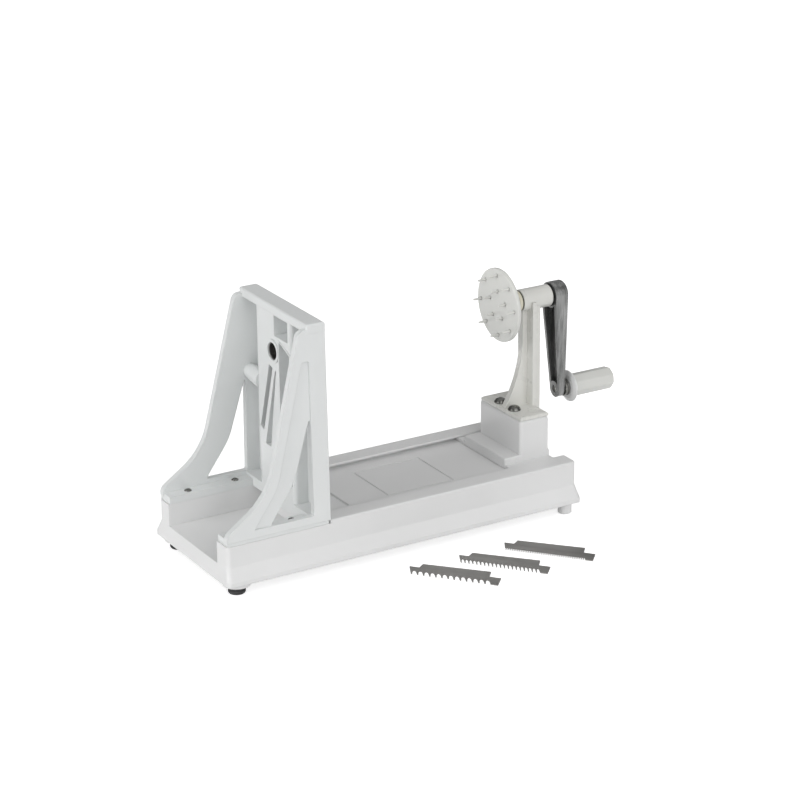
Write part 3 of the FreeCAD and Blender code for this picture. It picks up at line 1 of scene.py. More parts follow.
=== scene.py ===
"""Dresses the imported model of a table-top vegetable spiralizer for a photograph-like render.

Every new piece is a surface worked out with numpy in the model's frame, in metres, and rides on the
body that carries it.  The sizes of a piece are fields of the class that builds it, in millimetres
and degrees of the machine: x from the base's left end, y from the centre plane, z from the table.
"""

import logging
import math
from abc import ABC, abstractmethod
from dataclasses import dataclass
from enum import Enum
from functools import cache
from typing import ClassVar, Sequence

import bmesh
import bpy
import numpy as np
from mathutils import Matrix, Vector


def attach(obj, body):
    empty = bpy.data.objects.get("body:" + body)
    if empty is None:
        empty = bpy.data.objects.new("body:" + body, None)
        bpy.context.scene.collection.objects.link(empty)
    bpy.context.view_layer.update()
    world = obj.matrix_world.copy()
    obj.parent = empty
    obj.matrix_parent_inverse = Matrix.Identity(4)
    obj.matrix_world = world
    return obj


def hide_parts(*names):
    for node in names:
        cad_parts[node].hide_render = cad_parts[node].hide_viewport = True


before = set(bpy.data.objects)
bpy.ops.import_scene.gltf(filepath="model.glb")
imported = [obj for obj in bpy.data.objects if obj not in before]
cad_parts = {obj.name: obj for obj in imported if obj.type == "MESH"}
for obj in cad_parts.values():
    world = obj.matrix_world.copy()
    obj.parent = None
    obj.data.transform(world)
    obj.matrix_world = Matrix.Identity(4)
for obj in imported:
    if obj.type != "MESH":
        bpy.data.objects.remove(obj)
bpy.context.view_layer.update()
LOG = logging.getLogger("spiralizer")

MM = 0.001
FULL_TURN = 2 * math.pi
ORIGIN = np.array([219.85, -45.13, 0.0]) * MM
MERGE_DISTANCE = 1e-7
DEGENERATE_LENGTH = 1e-8
NOISE_RANGE = (0.25, 0.75)
RAMP_STOPS = (0.3, 0.7)
EDGE_SAMPLES = 6
SIDES = (-1, 1)

Colour = tuple[float, float, float]
Corner = tuple[float, float, float]


def place(x: float, y: float, z: float) -> np.ndarray:
    """A point of the machine, given in millimetres, as a frame point.

    Args:
        x: Distance from the left end of the base.
        y: Distance from the centre plane, positive on the far side.
        z: Height above the table.

    Returns:
        The point in metres in the model's frame.
    """
    return np.array([x, y, z]) * MM - ORIGIN


class Axis(Enum):
    """Directions that a turned piece can have, each as the vectors across, up and along."""

    UP = ((1, 0, 0), (0, 1, 0), (0, 0, 1))
    TO_CRANK = ((0, 1, 0), (0, 0, 1), (1, 0, 0))
    TO_TOWER = ((0, 0, 1), (0, 1, 0), (-1, 0, 0))


class Bodies(Enum):
    """The rigid bodies that carry new pieces."""

    MACHINE = "machine"
    CARRIAGE = "carriage"
    CRANK = "crank"
    GRIP = "grip"


@dataclass(frozen=True)
class Grain:
    """A noise pattern: its features per metre and its octaves."""

    scale: float
    detail: float


class Tree:
    """Adds and links the nodes of one node tree."""

    def __init__(self, tree: bpy.types.NodeTree) -> None:
        """Empties the tree.

        Args:
            tree: The node tree of a material or a world.
        """
        self.tree = tree
        self.tree.nodes.clear()

    def add(self, kind: str, **settings: object) -> bpy.types.Node:
        """Adds a node and sets its properties and unlinked sockets.

        Args:
            kind: Blender's name of the node type.
            settings: Property names, or socket names with underscores for spaces.

        Returns:
            The new node.
        """
        node = self.tree.nodes.new(kind)
        for key, value in settings.items():
            if hasattr(node, key):
                setattr(node, key, value)
            else:
                node.inputs[key.replace("_", " ")].default_value = value
        return node

    def link(self, source: bpy.types.Node, out: str | int, target: bpy.types.Node,
             into: str | int) -> None:
        """Links two sockets.

        Args:
            source: The node that gives the value.
            out: Name or number of its output.
            target: The node that takes the value.
            into: Name or number of its input.
        """
        self.tree.links.new(source.outputs[out], target.inputs[into])


class MaterialTree(Tree):
    """The node tree of a new material, with a principled shader linked to its output."""

    def __init__(self, name: str) -> None:
        """Starts the material.

        Args:
            name: The material's name.
        """
        self.material = bpy.data.materials.new(name)
        self.material.use_nodes = True
        super().__init__(self.material.node_tree)
        self.output = self.add("ShaderNodeOutputMaterial")
        self.shader = self.add("ShaderNodeBsdfPrincipled")
        self.link(self.shader, "BSDF", self.output, "Surface")
        self.coords = self.add("ShaderNodeTexCoord")

    def noise(self, grain: Grain, stretch: Sequence[float] | None = None,
              turn: float = 0.0) -> bpy.types.Node:
        """A noise over object coordinates.

        Args:
            grain: The pattern.
            stretch: Scale along each axis, or None for an even noise.
            turn: Turn about Z in degrees before the stretch.

        Returns:
            The noise node; its "Fac" is the value.
        """
        noise = self.add("ShaderNodeTexNoise", Scale=grain.scale, Detail=grain.detail)
        if stretch is None:
            self.link(self.coords, "Object", noise, "Vector")
            return noise
        mapping = self.add("ShaderNodeMapping", vector_type="TEXTURE")
        mapping.inputs["Rotation"].default_value = (0.0, 0.0, math.radians(turn))
        mapping.inputs["Scale"].default_value = tuple(1.0 / s for s in stretch)
        self.link(self.coords, "Object", mapping, "Vector")
        self.link(mapping, "Vector", noise, "Vector")
        return noise

    def colour(self, noise: bpy.types.Node, low: Colour, high: Colour) -> None:
        """Colours the surface by a noise.

        Args:
            noise: The noise node.
            low: Colour where the noise is low.
            high: Colour where the noise is high.
        """
        ramp = self.add("ShaderNodeValToRGB")
        for element, stop, colour in zip(ramp.color_ramp.elements, RAMP_STOPS, (low, high)):
            element.color = (*colour, 1.0)
            element.position = stop
        self.link(noise, "Fac", ramp, "Fac")
        self.link(ramp, "Color", self.shader, "Base Color")

    def roughen(self, noise: bpy.types.Node, low: float, high: float) -> None:
        """Varies the roughness by a noise.

        Args:
            noise: The noise node.
            low: Roughness where the noise is low.
            high: Roughness where the noise is high.
        """
        span = self.add("ShaderNodeMapRange", From_Min=NOISE_RANGE[0], From_Max=NOISE_RANGE[1],
                        To_Min=low, To_Max=high)
        self.link(noise, "Fac", span, "Value")
        self.link(span, "Result", self.shader, "Roughness")

    def bump(self, noise: bpy.types.Node, depth: float, strength: float, edge: float) -> None:
        """Bumps the surface by a noise, over softened edges.

        Args:
            noise: The noise node.
            depth: Height of the bumps in metres.
            strength: Share of the bump that shows, 0 to 1.
            edge: Radius in metres that edges seem to have.
        """
        bump = self.add("ShaderNodeBump", Strength=strength, Distance=depth)
        self.link(noise, "Fac", bump, "Height")
        rounding = self.add("ShaderNodeBevel", samples=EDGE_SAMPLES, Radius=edge)
        self.link(rounding, "Normal", bump, "Normal")
        self.link(bump, "Normal", self.shader, "Normal")


@dataclass(frozen=True)
class Plastic:
    """Moulded plastic: a slight orange peel, faint cloudiness and softened edges."""

    name: str
    colour: Colour
    shade: Colour
    roughness: tuple[float, float] = (0.29, 0.36)
    cloud: Grain = Grain(14.0, 4.0)
    scuff: Grain = Grain(45.0, 3.0)
    peel: Grain = Grain(700.0, 2.0)
    depth: float = 0.00003
    strength: float = 0.5
    edge: float = 0.0009
    coat: float = 0.12
    coat_roughness: float = 0.2
    refraction: float = 1.49

    def build(self) -> bpy.types.Material:
        """Makes the material.

        Returns:
            The new material.
        """
        nodes = MaterialTree(self.name)
        nodes.colour(nodes.noise(self.cloud), self.shade, self.colour)
        nodes.roughen(nodes.noise(self.scuff), *self.roughness)
        nodes.shader.inputs["Coat Weight"].default_value = self.coat
        nodes.shader.inputs["Coat Roughness"].default_value = self.coat_roughness
        nodes.shader.inputs["IOR"].default_value = self.refraction
        nodes.bump(nodes.noise(self.peel), self.depth, self.strength, self.edge)
        return nodes.material


@dataclass(frozen=True)
class Metal:
    """Bare metal with fine working marks along one direction."""

    name: str
    colour: Colour
    shade: Colour
    roughness: tuple[float, float]
    marks: Grain = Grain(900.0, 4.0)
    # Noise of the colour: random stains on most metals, and painted reflection streaks on the polished
    # arm.
    stain_and_sheen: Grain = Grain(55.0, 4.0)
    stretch: tuple[float, float, float] = (1.0, 1.0, 1.0)
    turn: float = 0.0
    depth: float = 0.00003
    strength: float = 0.4
    edge: float = 0.0004
    metallic: float = 1.0

    def build(self) -> bpy.types.Material:
        """Makes the material.

        Returns:
            The new material.
        """
        nodes = MaterialTree(self.name)
        nodes.shader.inputs["Metallic"].default_value = self.metallic
        marks = nodes.noise(self.marks, self.stretch, self.turn)
        nodes.colour(nodes.noise(self.stain_and_sheen, self.stretch, self.turn), self.shade, self.colour)
        nodes.roughen(marks, *self.roughness)
        nodes.bump(marks, self.depth, self.strength, self.edge)
        return nodes.material


@dataclass(frozen=True)
class Rubber:
    """Black moulded rubber, dusty in patches."""

    name: str
    colour: Colour = (0.012, 0.012, 0.013)
    dust: Colour = (0.045, 0.045, 0.047)
    roughness: tuple[float, float] = (0.5, 0.8)
    patches: Grain = Grain(160.0, 5.0)
    pores: Grain = Grain(1500.0, 3.0)
    depth: float = 0.00006
    strength: float = 0.5
    edge: float = 0.0005

    def build(self) -> bpy.types.Material:
        """Makes the material.

        Returns:
            The new material.
        """
        nodes = MaterialTree(self.name)
        pores = nodes.noise(self.pores)
        nodes.colour(nodes.noise(self.patches), self.colour, self.dust)
        nodes.roughen(pores, *self.roughness)
        nodes.bump(pores, self.depth, self.strength, self.edge)
        return nodes.material


class Look(Enum):
    """The finishes, each with what builds its material."""

    WHITE_PLASTIC = Plastic("white_plastic", (0.805, 0.806, 0.805), (0.775, 0.777, 0.775))
    TOWER_PLASTIC = Plastic("tower_plastic", (0.79, 0.806, 0.803), (0.755, 0.772, 0.769), (0.33, 0.42))
    POST_PLASTIC = Plastic("post_plastic", (0.765, 0.763, 0.728), (0.735, 0.733, 0.697), (0.25, 0.32))
    IVORY_PLASTIC = Plastic("ivory_plastic", (0.74, 0.705, 0.58), (0.68, 0.64, 0.51), (0.2, 0.3))
    # Near-black plastic for the bushes: painted shade for the dark gap between the disc's collar and the
    # tube.
    OILED_BUSH = Plastic("painted_shade_bush", (0.075, 0.072, 0.05), (0.045, 0.043, 0.03), (0.35, 0.5))
    HANDLE_PLASTIC = Plastic("handle_plastic", (0.725, 0.728, 0.698), (0.705, 0.708, 0.678),
                             (0.2, 0.27))
    BLACK_RUBBER = Rubber("black_rubber")
    ZINC_STEEL = Metal("zinc_steel", (0.27, 0.27, 0.26), (0.13, 0.13, 0.12), (0.06, 0.16))
    BLADE_STEEL = Metal("blade_steel", (0.37, 0.362, 0.35), (0.265, 0.258, 0.25), (0.3, 0.5),
                        marks=Grain(1400.0, 4.0), stretch=(0.08, 1.0, 1.0), turn=-49.6)
    # The arm's colour runs in vertical dark-to-light streaks that are painted reflection streaks, not
    # stains.
    POLISHED_ARM = Metal("polished_arm", (0.31, 0.312, 0.31), (0.09, 0.092, 0.09), (0.2, 0.36),
                         marks=Grain(300.0, 4.0), stain_and_sheen=Grain(260.0, 4.0), stretch=(1.0, 1.0, 0.1),
                         metallic=0.62)
    BRASS_INSERT = Metal("brass_insert", (0.62, 0.44, 0.18), (0.5, 0.34, 0.13), (0.2, 0.35))


@cache
def finish(look: Look) -> bpy.types.Material:
    """The material of a finish, made at its first use.

    Args:
        look: The finish.

    Returns:
        Its one material.
    """
    return look.value.build()


def solid(name: str, points: np.ndarray, faces: list[list[int]], smooth: bool = True) -> bpy.types.Object:
    """Makes an object, with doubled points merged and the faces turned outwards.

    Args:
        name: The piece's name.
        points: Array (n, 3) in metres.
        faces: The faces, each a list of point numbers.
        smooth: True where the faces are shaded smooth.

    Returns:
        The object, at the origin.
    """
    mesh = bpy.data.meshes.new(name)
    mesh.from_pydata(points.tolist(), [], faces)
    shape = bmesh.new()
    shape.from_mesh(mesh)
    bmesh.ops.remove_doubles(shape, verts=shape.verts, dist=MERGE_DISTANCE)
    bmesh.ops.dissolve_degenerate(shape, edges=shape.edges, dist=DEGENERATE_LENGTH)
    bmesh.ops.recalc_face_normals(shape, faces=shape.faces)
    shape.to_mesh(mesh)
    shape.free()
    mesh.polygons.foreach_set("use_smooth", np.full(len(mesh.polygons), smooth))
    piece = bpy.data.objects.new(name, mesh)
    bpy.context.scene.collection.objects.link(piece)
    return piece


@dataclass(frozen=True)
class Surface:
    """Points in metres, and the quads between them as rows of point numbers."""

    points: np.ndarray
    quads: np.ndarray

    def piece(self, name: str) -> bpy.types.Object:
        """Makes the surface an object.

        Args:
            name: The piece's name.

        Returns:
            The object, shaded smooth.
        """
        return solid(name, self.points, self.quads.tolist())


def sleeve(points: np.ndarray) -> Surface:
    """A grid of points whose last column joins the first, with a quad between each four neighbours.

    Args:
        points: Array (rows, columns, 3) in metres.

    Returns:
        The surface.
    """
    rows, columns = points.shape[:2]
    row, column = np.meshgrid(np.arange(rows - 1), np.arange(columns), indexing="ij")
    beside = (column + 1) % columns
    quads = np.stack([row * columns + column, (row + 1) * columns + column,
                      (row + 1) * columns + beside, row * columns + beside], axis=-1)
    return Surface(points.reshape(-1, 3), quads.reshape(-1, 4))


def turned(profile: np.ndarray, origin: np.ndarray, axis: Axis, around: int = 64) -> Surface:
    """A surface of revolution: p(s, t) = origin + r(s) (cos t, sin t) across the axis + h(s) along it.

    Args:
        profile: Array (n, 2) of r and h in millimetres.
        origin: Where the axis starts, in metres.
        axis: The axis.
        around: Number of points round the axis.

    Returns:
        The surface.
    """
    angle = np.linspace(0, FULL_TURN, around, endpoint=False)
    across, up, along = (np.array(v, float) for v in axis.value)
    circle = np.cos(angle)[:, None] * across + np.sin(angle)[:, None] * up
    points = profile[:, None, 0, None] * circle[None] + profile[:, None, 1, None] * along
    return sleeve(origin + points * MM)


def merged(surfaces: Sequence[Surface]) -> Surface:
    """Several surfaces as one.

    Args:
        surfaces: The surfaces.

    Returns:
        Their points and quads, one after the other.
    """
    starts = np.cumsum([0] + [len(surface.points) for surface in surfaces[:-1]])
    quads = [surface.quads + start for surface, start in zip(surfaces, starts)]
    return Surface(np.concatenate([surface.points for surface in surfaces]), np.concatenate(quads))


def rounded(corners: Sequence[Corner], steps: int = 6) -> np.ndarray:
    """A profile whose corners are rounded by circular arcs.

    A rounding r between two edges that meet at an angle 2a starts r / tan(a) before the corner and
    follows the circle that touches both edges.

    Args:
        corners: Each a radius from the axis, a distance along it and a rounding, in millimetres.
        steps: Points on each arc.

    Returns:
        Array (n, 2) of points in millimetres.
    """
    places = np.array([corner[:2] for corner in corners], float)
    out: list[np.ndarray] = []
    for i, (*_, size) in enumerate(corners):
        here = places[i]
        if size <= 0 or i in (0, len(corners) - 1):
            out.append(here[None])
            continue
        before, after = places[i - 1] - here, places[i + 1] - here
        before, after = before / np.linalg.norm(before), after / np.linalg.norm(after)
        half = 0.5 * math.acos(float(np.clip(before @ after, -1, 1)))
        bisector = (before + after) / np.linalg.norm(before + after)
        centre = here + bisector * size / math.sin(half)
        first, last = here + before * size / math.tan(half), here + after * size / math.tan(half)
        start = math.atan2(*(first - centre)[::-1])
        sweep = (math.atan2(*(last - centre)[::-1]) - start + math.pi) % FULL_TURN - math.pi
        angle = start + sweep * np.linspace(0, 1, steps)
        out.append(centre + size * np.stack([np.cos(angle), np.sin(angle)], axis=1))
    return np.concatenate(out)


def settle(piece: bpy.types.Object, body: Bodies, look: Look, node: str,
           sharp: float = 40.0) -> None:
    """Dresses a new piece, lets it ride on its body and lets it stand for its CAD node.

    Args:
        piece: The object.
        body: The body that carries it.
        look: The finish.
        node: The CAD node that it replaces.
        sharp: Edges bent more than this many degrees stay crisp.
    """
    piece.data.materials.append(finish(look))
    piece.data.set_sharp_from_angle(angle=math.radians(sharp))
    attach(piece, body.value)
    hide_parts(node)
    LOG.info("%s rides on %s", piece.name, body.value)


def dress(node: str, look: Look) -> None:
    """Gives a CAD node its finish.

    Args:
        node: The node's name.
        look: The finish.
    """
    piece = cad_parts[node]
    for slot in piece.material_slots:
        slot.material = finish(look)
    if not piece.material_slots:
        piece.data.materials.append(finish(look))
    LOG.info("%s is dressed in %s", node, look.value.name)


@dataclass
class Assembly(ABC):
    """A sub-assembly: the finishes of its CAD nodes, and new pieces that stand for the others."""

    looks: ClassVar[dict[str, Look]] = {}

    def build(self) -> None:
        """Dresses the CAD nodes, then makes the new pieces."""
        for node, look in self.looks.items():
            dress(node, look)
        self.add_pieces()

    @abstractmethod
    def add_pieces(self) -> None:
        """Makes the new pieces."""


@dataclass
class Base(Assembly):
    """The base channel with its feet."""

    looks: ClassVar[dict[str, Look]] = {
        "base_channel": Look.WHITE_PLASTIC, "foot_screws": Look.ZINC_STEEL,
        "peg_feet": Look.WHITE_PLASTIC}
    foot_x: float = 13.0
    foot_y: float = 57.0
    foot_rim: float = 7.9
    foot_waist: float = 6.9
    foot_bore: float = 3.6
    foot_height: float = 7.95

    def add_pieces(self) -> None:
        """Makes the two bulged rubber feet, each with a waist, turned about upright axes."""
        rim, waist = self.foot_rim, self.foot_waist
        profile = rounded([
            (self.foot_bore, 1.7, 0), (self.foot_bore, 0.0, 0.5), (waist, 0.0, 1.0),
            (rim, 1.3, 0.8), (rim, 3.2, 0.7), (waist, 4.1, 0.4), (waist, 5.9, 0.4),
            (rim, 6.8, 0.6), (rim, self.foot_height, 0.3), (2.0, self.foot_height, 0)])
        feet = [turned(profile, place(self.foot_x, side * self.foot_y, 0.0), Axis.UP) for side in SIDES]
        settle(merged(feet).piece("feet_rubber"), Bodies.MACHINE, Look.BLACK_RUBBER,
               "rubber_feet")


@dataclass
class Tower(Assembly):
    """The blade tower with its fittings."""

    looks: ClassVar[dict[str, Look]] = {
        "tower_frame": Look.TOWER_PLASTIC, "corer_tube": Look.BLADE_STEEL,
        "slicing_blade": Look.BLADE_STEEL, "blade_screws": Look.ZINC_STEEL,
        "clamp_insert": Look.BRASS_INSERT, "clamp_screw": Look.ZINC_STEEL,
        "clamp_knob": Look.WHITE_PLASTIC}
    screw_rows: tuple[tuple[float, float], ...] = ((22.9, 20.0), (70.2, 65.0))
    screw_y: float = 53.8
    screw_z: float = 54.2
    head_radius: float = 3.4
    head_dome: float = 1.8
    head_skirt: float = 0.2
    head_grid: tuple[int, int] = (22, 64)
    recess_half: float = 0.52
    recess_wall: float = 0.16
    recess_reach: float = 1.9
    recess_end: float = 0.4
    recess_depth: float = 1.0

    def add_pieces(self) -> None:
        """Makes the four flange screws; each row has its x and the turn of its recesses."""
        screws = [self.cross_head(place(x, side * self.screw_y, self.screw_z), math.radians(turn))
                  for x, turn in self.screw_rows for side in SIDES]
        settle(merged(screws).piece("flange_screws"), Bodies.MACHINE, Look.ZINC_STEEL,
               "tower_screws")

    def cross_head(self, origin: np.ndarray, turn: float) -> Surface:
        """A domed screw head with a cross recess.

        The height over a polar grid is the dome h (1 - (r / R)^2) ^ 0.5, less a smooth cross-shaped
        pit wherever the smaller of |u| and |v| is under the recess's half width and the larger is
        under its reach.  The whole head is then turned about its axis.

        Args:
            origin: The middle of the head's underside, in metres.
            turn: The turn in radians.

        Returns:
            The head.
        """
        rings, around = self.head_grid
        share = np.linspace(0, 1, rings)[:, None]
        angle = np.linspace(0, FULL_TURN, around, endpoint=False)[None]
        u = self.head_radius * share * np.cos(angle)
        v = self.head_radius * share * np.sin(angle)
        arm = np.minimum(np.abs(u), np.abs(v))
        reach = np.maximum(np.abs(u), np.abs(v))
        pit = (np.clip((self.recess_half - arm) / self.recess_wall, 0, 1)
               * np.clip((self.recess_reach - reach) / self.recess_end, 0, 1))
        height = self.head_dome * np.sqrt(1 - share ** 2) - self.recess_depth * pit
        points = np.stack([u * math.cos(turn) - v * math.sin(turn),
                           u * math.sin(turn) + v * math.cos(turn), height], axis=-1)
        skirt = points[-1:].copy()
        skirt[..., 2] = -self.head_skirt
        return sleeve(origin + np.concatenate([points, skirt]) * MM)


@dataclass
class Carriage(Assembly):
    """The sliding block, the crank's post and its fittings."""

    looks: ClassVar[dict[str, Look]] = {
        "carriage_block": Look.WHITE_PLASTIC, "crank_post": Look.POST_PLASTIC,
        # The front and rear bushes take near-black plastic as painted shade in the gap at the tube's end.
        "post_nuts": Look.ZINC_STEEL, "front_bush": Look.OILED_BUSH, "rear_bush": Look.OILED_BUSH}
    dome_x: float = 328.0
    dome_y: float = 11.8
    dome_radius: float = 6.1
    dome_height: float = 4.2
    shank_radius: float = 2.9
    shank_length: float = 13.0
    cap_top: float = 90.85

    def add_pieces(self) -> None:
        """Makes the two dome screws, turned about upright axes."""
        profile = rounded([
            (0.0, self.dome_height, 0), (2.2, 4.15, 1.0), (4.6, 3.1, 2.0), (5.8, 1.3, 1.2),
            (self.dome_radius, 0.7, 0.3), (self.dome_radius, 0.0, 0.2), (self.shank_radius, 0.0, 0.1),
            (self.shank_radius, -self.shank_length, 0.3), (0.0, -self.shank_length, 0)])
        screws = [turned(profile, place(self.dome_x, side * self.dome_y, self.cap_top), Axis.UP)
                  for side in SIDES]
        settle(merged(screws).piece("post_dome_screws"), Bodies.CARRIAGE,
               Look.ZINC_STEEL, "dome_screws", sharp=60.0)


@dataclass(frozen=True)
class Ring:
    """A ring of prongs: their number, the circle's radius, the first one's angle and their length."""

    count: int
    radius: float
    first: float
    length: float


@dataclass
class Crank(Assembly):
    """Shaft, prong disc, arm and pin."""

    looks: ClassVar[dict[str, Look]] = {
        "drive_shaft": Look.ZINC_STEEL, "disc_collar": Look.IVORY_PLASTIC,
        "seal_washer": Look.BLACK_RUBBER, "crank_arm": Look.POLISHED_ARM,
        "arm_set_screw": Look.ZINC_STEEL, "grip_clip": Look.ZINC_STEEL}
    axis_z: float = 191.4
    face_x: float = 316.9
    plate_radius: float = 34.5
    plate_edge: float = 4.0
    plate_skin: float = 2.1
    plate_around: int = 128
    hub_radius: float = 9.0
    hub_length: float = 18.3
    bore_radius: float = 5.05
    rings: tuple[Ring, ...] = (Ring(8, 28.2, -2.5, 8.4), Ring(5, 13.2, 18.0, 7.0))
    prong_around: int = 20
    pin_z: float = 97.2
    pin_x: float = 380.85
    pin_end_x: float = 435.85
    pin_radius: float = 3.5
    boss_x: float = 387.75
    boss_radius: float = 8.4
    boss_length: float = 5.2

    def add_pieces(self) -> None:
        """Makes the handle pin and the prong disc."""
        settle(self.pin().piece("pin_with_boss"), Bodies.CRANK, Look.ZINC_STEEL,
               "handle_pin")
        prongs = [self.prong(ring.radius, math.radians(ring.first + 360 * i / ring.count), ring.length)
                  for ring in self.rings for i in range(ring.count)]
        settle(merged([self.disc(), *prongs]).piece("disc_with_prongs"), Bodies.CRANK,
               Look.HANDLE_PLASTIC, "prong_disc")

    def pin(self) -> Surface:
        """The steel handle pin with its stepped boss and its riveted end.

        Returns:
            The pin, turned about its own axis.
        """
        pin, boss = self.pin_radius, self.boss_radius
        back, tail = self.boss_x - self.pin_x, self.pin_end_x - self.pin_x
        front = back + self.boss_length
        profile = rounded([
            (0.0, 0.4, 0), (1.5, 0.35, 0.3), (2.4, 0.0, 0.4), (pin - 0.05, 0.0, 0.5),
            (pin, 1.0, 0.2), (pin, back, 0.1), (boss - 0.6, back, 0.3), (boss, back + 0.8, 0.3),
            (boss, back + 2.2, 0.2), (boss - 0.7, back + 2.5, 0.2), (boss - 0.7, back + 3.0, 0.2),
            (boss, back + 3.3, 0.2), (boss, back + 4.4, 0.4), (boss - 1.0, front, 0.3),
            (pin, front, 0.1), (pin, tail - 0.6, 0.2), (2.9, tail, 0.2), (0.0, tail, 0)])
        return turned(profile, place(self.pin_x, 0.0, self.pin_z), Axis.TO_CRANK)

    def disc(self) -> Surface:
        """The round plate with its hub.

        Returns:
            The disc, turned about the crank's axis.
        """
        edge, hub, bore = self.plate_edge, self.hub_radius, self.bore_radius
        profile = rounded([
            (0.0, 0.0, 0), (self.plate_radius, 0.0, 1.1), (self.plate_radius, edge, 1.1),
            (hub + 1.5, edge, 1.2), (hub, 5.6, 0.6), (hub, self.hub_length, 0.5),
            (bore, self.hub_length, 0.2), (bore, self.plate_skin, 0.1), (0.0, self.plate_skin, 0)])
        return turned(profile, place(self.face_x, 0.0, self.axis_z), Axis.TO_CRANK, self.plate_around)

    def prong(self, circle: float, turn: float, length: float) -> Surface:
        """One tapered prong with a rounded tip and a small fillet at its root.

        Args:
            circle: Radius of the circle that it stands on.
            turn: Its place on the circle in radians, from the far side upwards.
            length: How far it stands out of the disc.

        Returns:
            The prong, turned about its own axis.
        """
        y, z = circle * math.cos(turn), self.axis_z + circle * math.sin(turn)
        profile = rounded([
            (2.2, -0.05, 0), (1.3, 0.0, 0.4), (1.25, 0.8, 0.4), (0.9, length - 0.9, 0.0),
            (0.8, length, 0.55), (0.0, length, 0)], 5)
        return turned(profile, place(self.face_x, y, z), Axis.TO_TOWER, self.prong_around)


@dataclass
class Grip(Assembly):
    """The hand grip that turns on the pin."""

    looks: ClassVar[dict[str, Look]] = {"grip_plug": Look.HANDLE_PLASTIC}
    axis_z: float = 97.2
    bore: float = 3.6
    collar_x: float = 393.3
    collar_radius: float = 15.0
    collar_length: float = 3.7
    collar_around: int = 96
    start_x: float = 396.3
    length: float = 45.8
    half_flats: float = 10.1
    start_edge: float = 0.4
    end_edge: float = 3.0
    plug_radius: float = 6.2
    round_radius: float = 6.6
    sides: int = 8
    side_points: int = 14
    turn: float = 9.0
    corner_cap: float = 1.07
    cap_sharpness: float = 150.0

    def add_pieces(self) -> None:
        """Makes the collar and the eight-sided grip."""
        settle(self.collar().piece("collar_flange"), Bodies.GRIP,
               Look.WHITE_PLASTIC, "handle_collar", sharp=60.0)
        settle(self.body().piece("grip_body"), Bodies.GRIP,
               Look.HANDLE_PLASTIC, "handle_grip", sharp=60.0)

    def collar(self) -> Surface:
        """The round flange at the grip's root, coned towards the arm, with a groove round the boss.

        Returns:
            The flange, turned about the pin's axis.
        """
        rim, bore, length = self.collar_radius, self.bore, self.collar_length
        profile = rounded([
            (bore, 0.5, 0), (bore, 0.0, 0.1), (9.7, 0.0, 0.2), (9.9, 0.9, 0.1), (10.3, 0.9, 0.1),
            (10.5, 0.0, 0.25), (rim - 3.0, 0.5, 0.8), (rim, 2.0, 0.6), (rim, 3.0, 0.4),
            (rim - 1.0, length, 0.4), (bore, length, 0.1), (bore, 2.0, 0)])
        return turned(profile, place(self.collar_x, 0.0, self.axis_z), Axis.TO_CRANK,
                      self.collar_around)

    def body(self) -> Surface:
        """The faceted grip.

        The section is a polygon with softened corners: the distance to the flats h / cos(t), with t the
        angle from the nearest flat's middle, capped smoothly near the corners.  Its size follows the
        rounded profile s(x) along the length, and the section turns round towards the bore.

        Returns:
            The grip, closed inwards at both ends.
        """
        flats, end = self.half_flats, self.length
        profile = rounded([
            (self.bore, 0.3, 0), (self.bore, 0.0, 0.0), (flats, 0.0, self.start_edge),
            (flats, end, self.end_edge), (self.plug_radius + 0.3, end, 0.4),
            (self.plug_radius, end - 1.0, 0.2), (self.plug_radius, end - 3.0, 0)], 7)
        angle = np.linspace(0, FULL_TURN, self.sides * self.side_points, endpoint=False)
        step = FULL_TURN / self.sides
        off = (angle + math.radians(self.turn) + step / 2) % step - step / 2
        flat = 1 / np.cos(off)
        sharpness = self.cap_sharpness
        factor = flat - np.log1p(np.exp((flat - self.corner_cap) * sharpness)) / sharpness
        inner = self.round_radius
        share = np.clip((profile[:, 0] - inner) / (flats - inner), 0, 1)[:, None]
        radius = profile[:, 0, None] * (1 + (factor[None] - 1) * share)
        circle = np.stack([np.zeros_like(angle), np.cos(angle), np.sin(angle)], axis=1)
        points = radius[..., None] * circle[None] + profile[:, None, 1, None] * np.array([1.0, 0, 0])
        return sleeve(place(self.start_x, 0.0, self.axis_z) + points * MM)


@dataclass(frozen=True)
class Comb:
    """A spare comb: its name, its corner on the table, its number of teeth and their height."""

    name: str
    x: float
    y: float
    teeth: int
    height: float


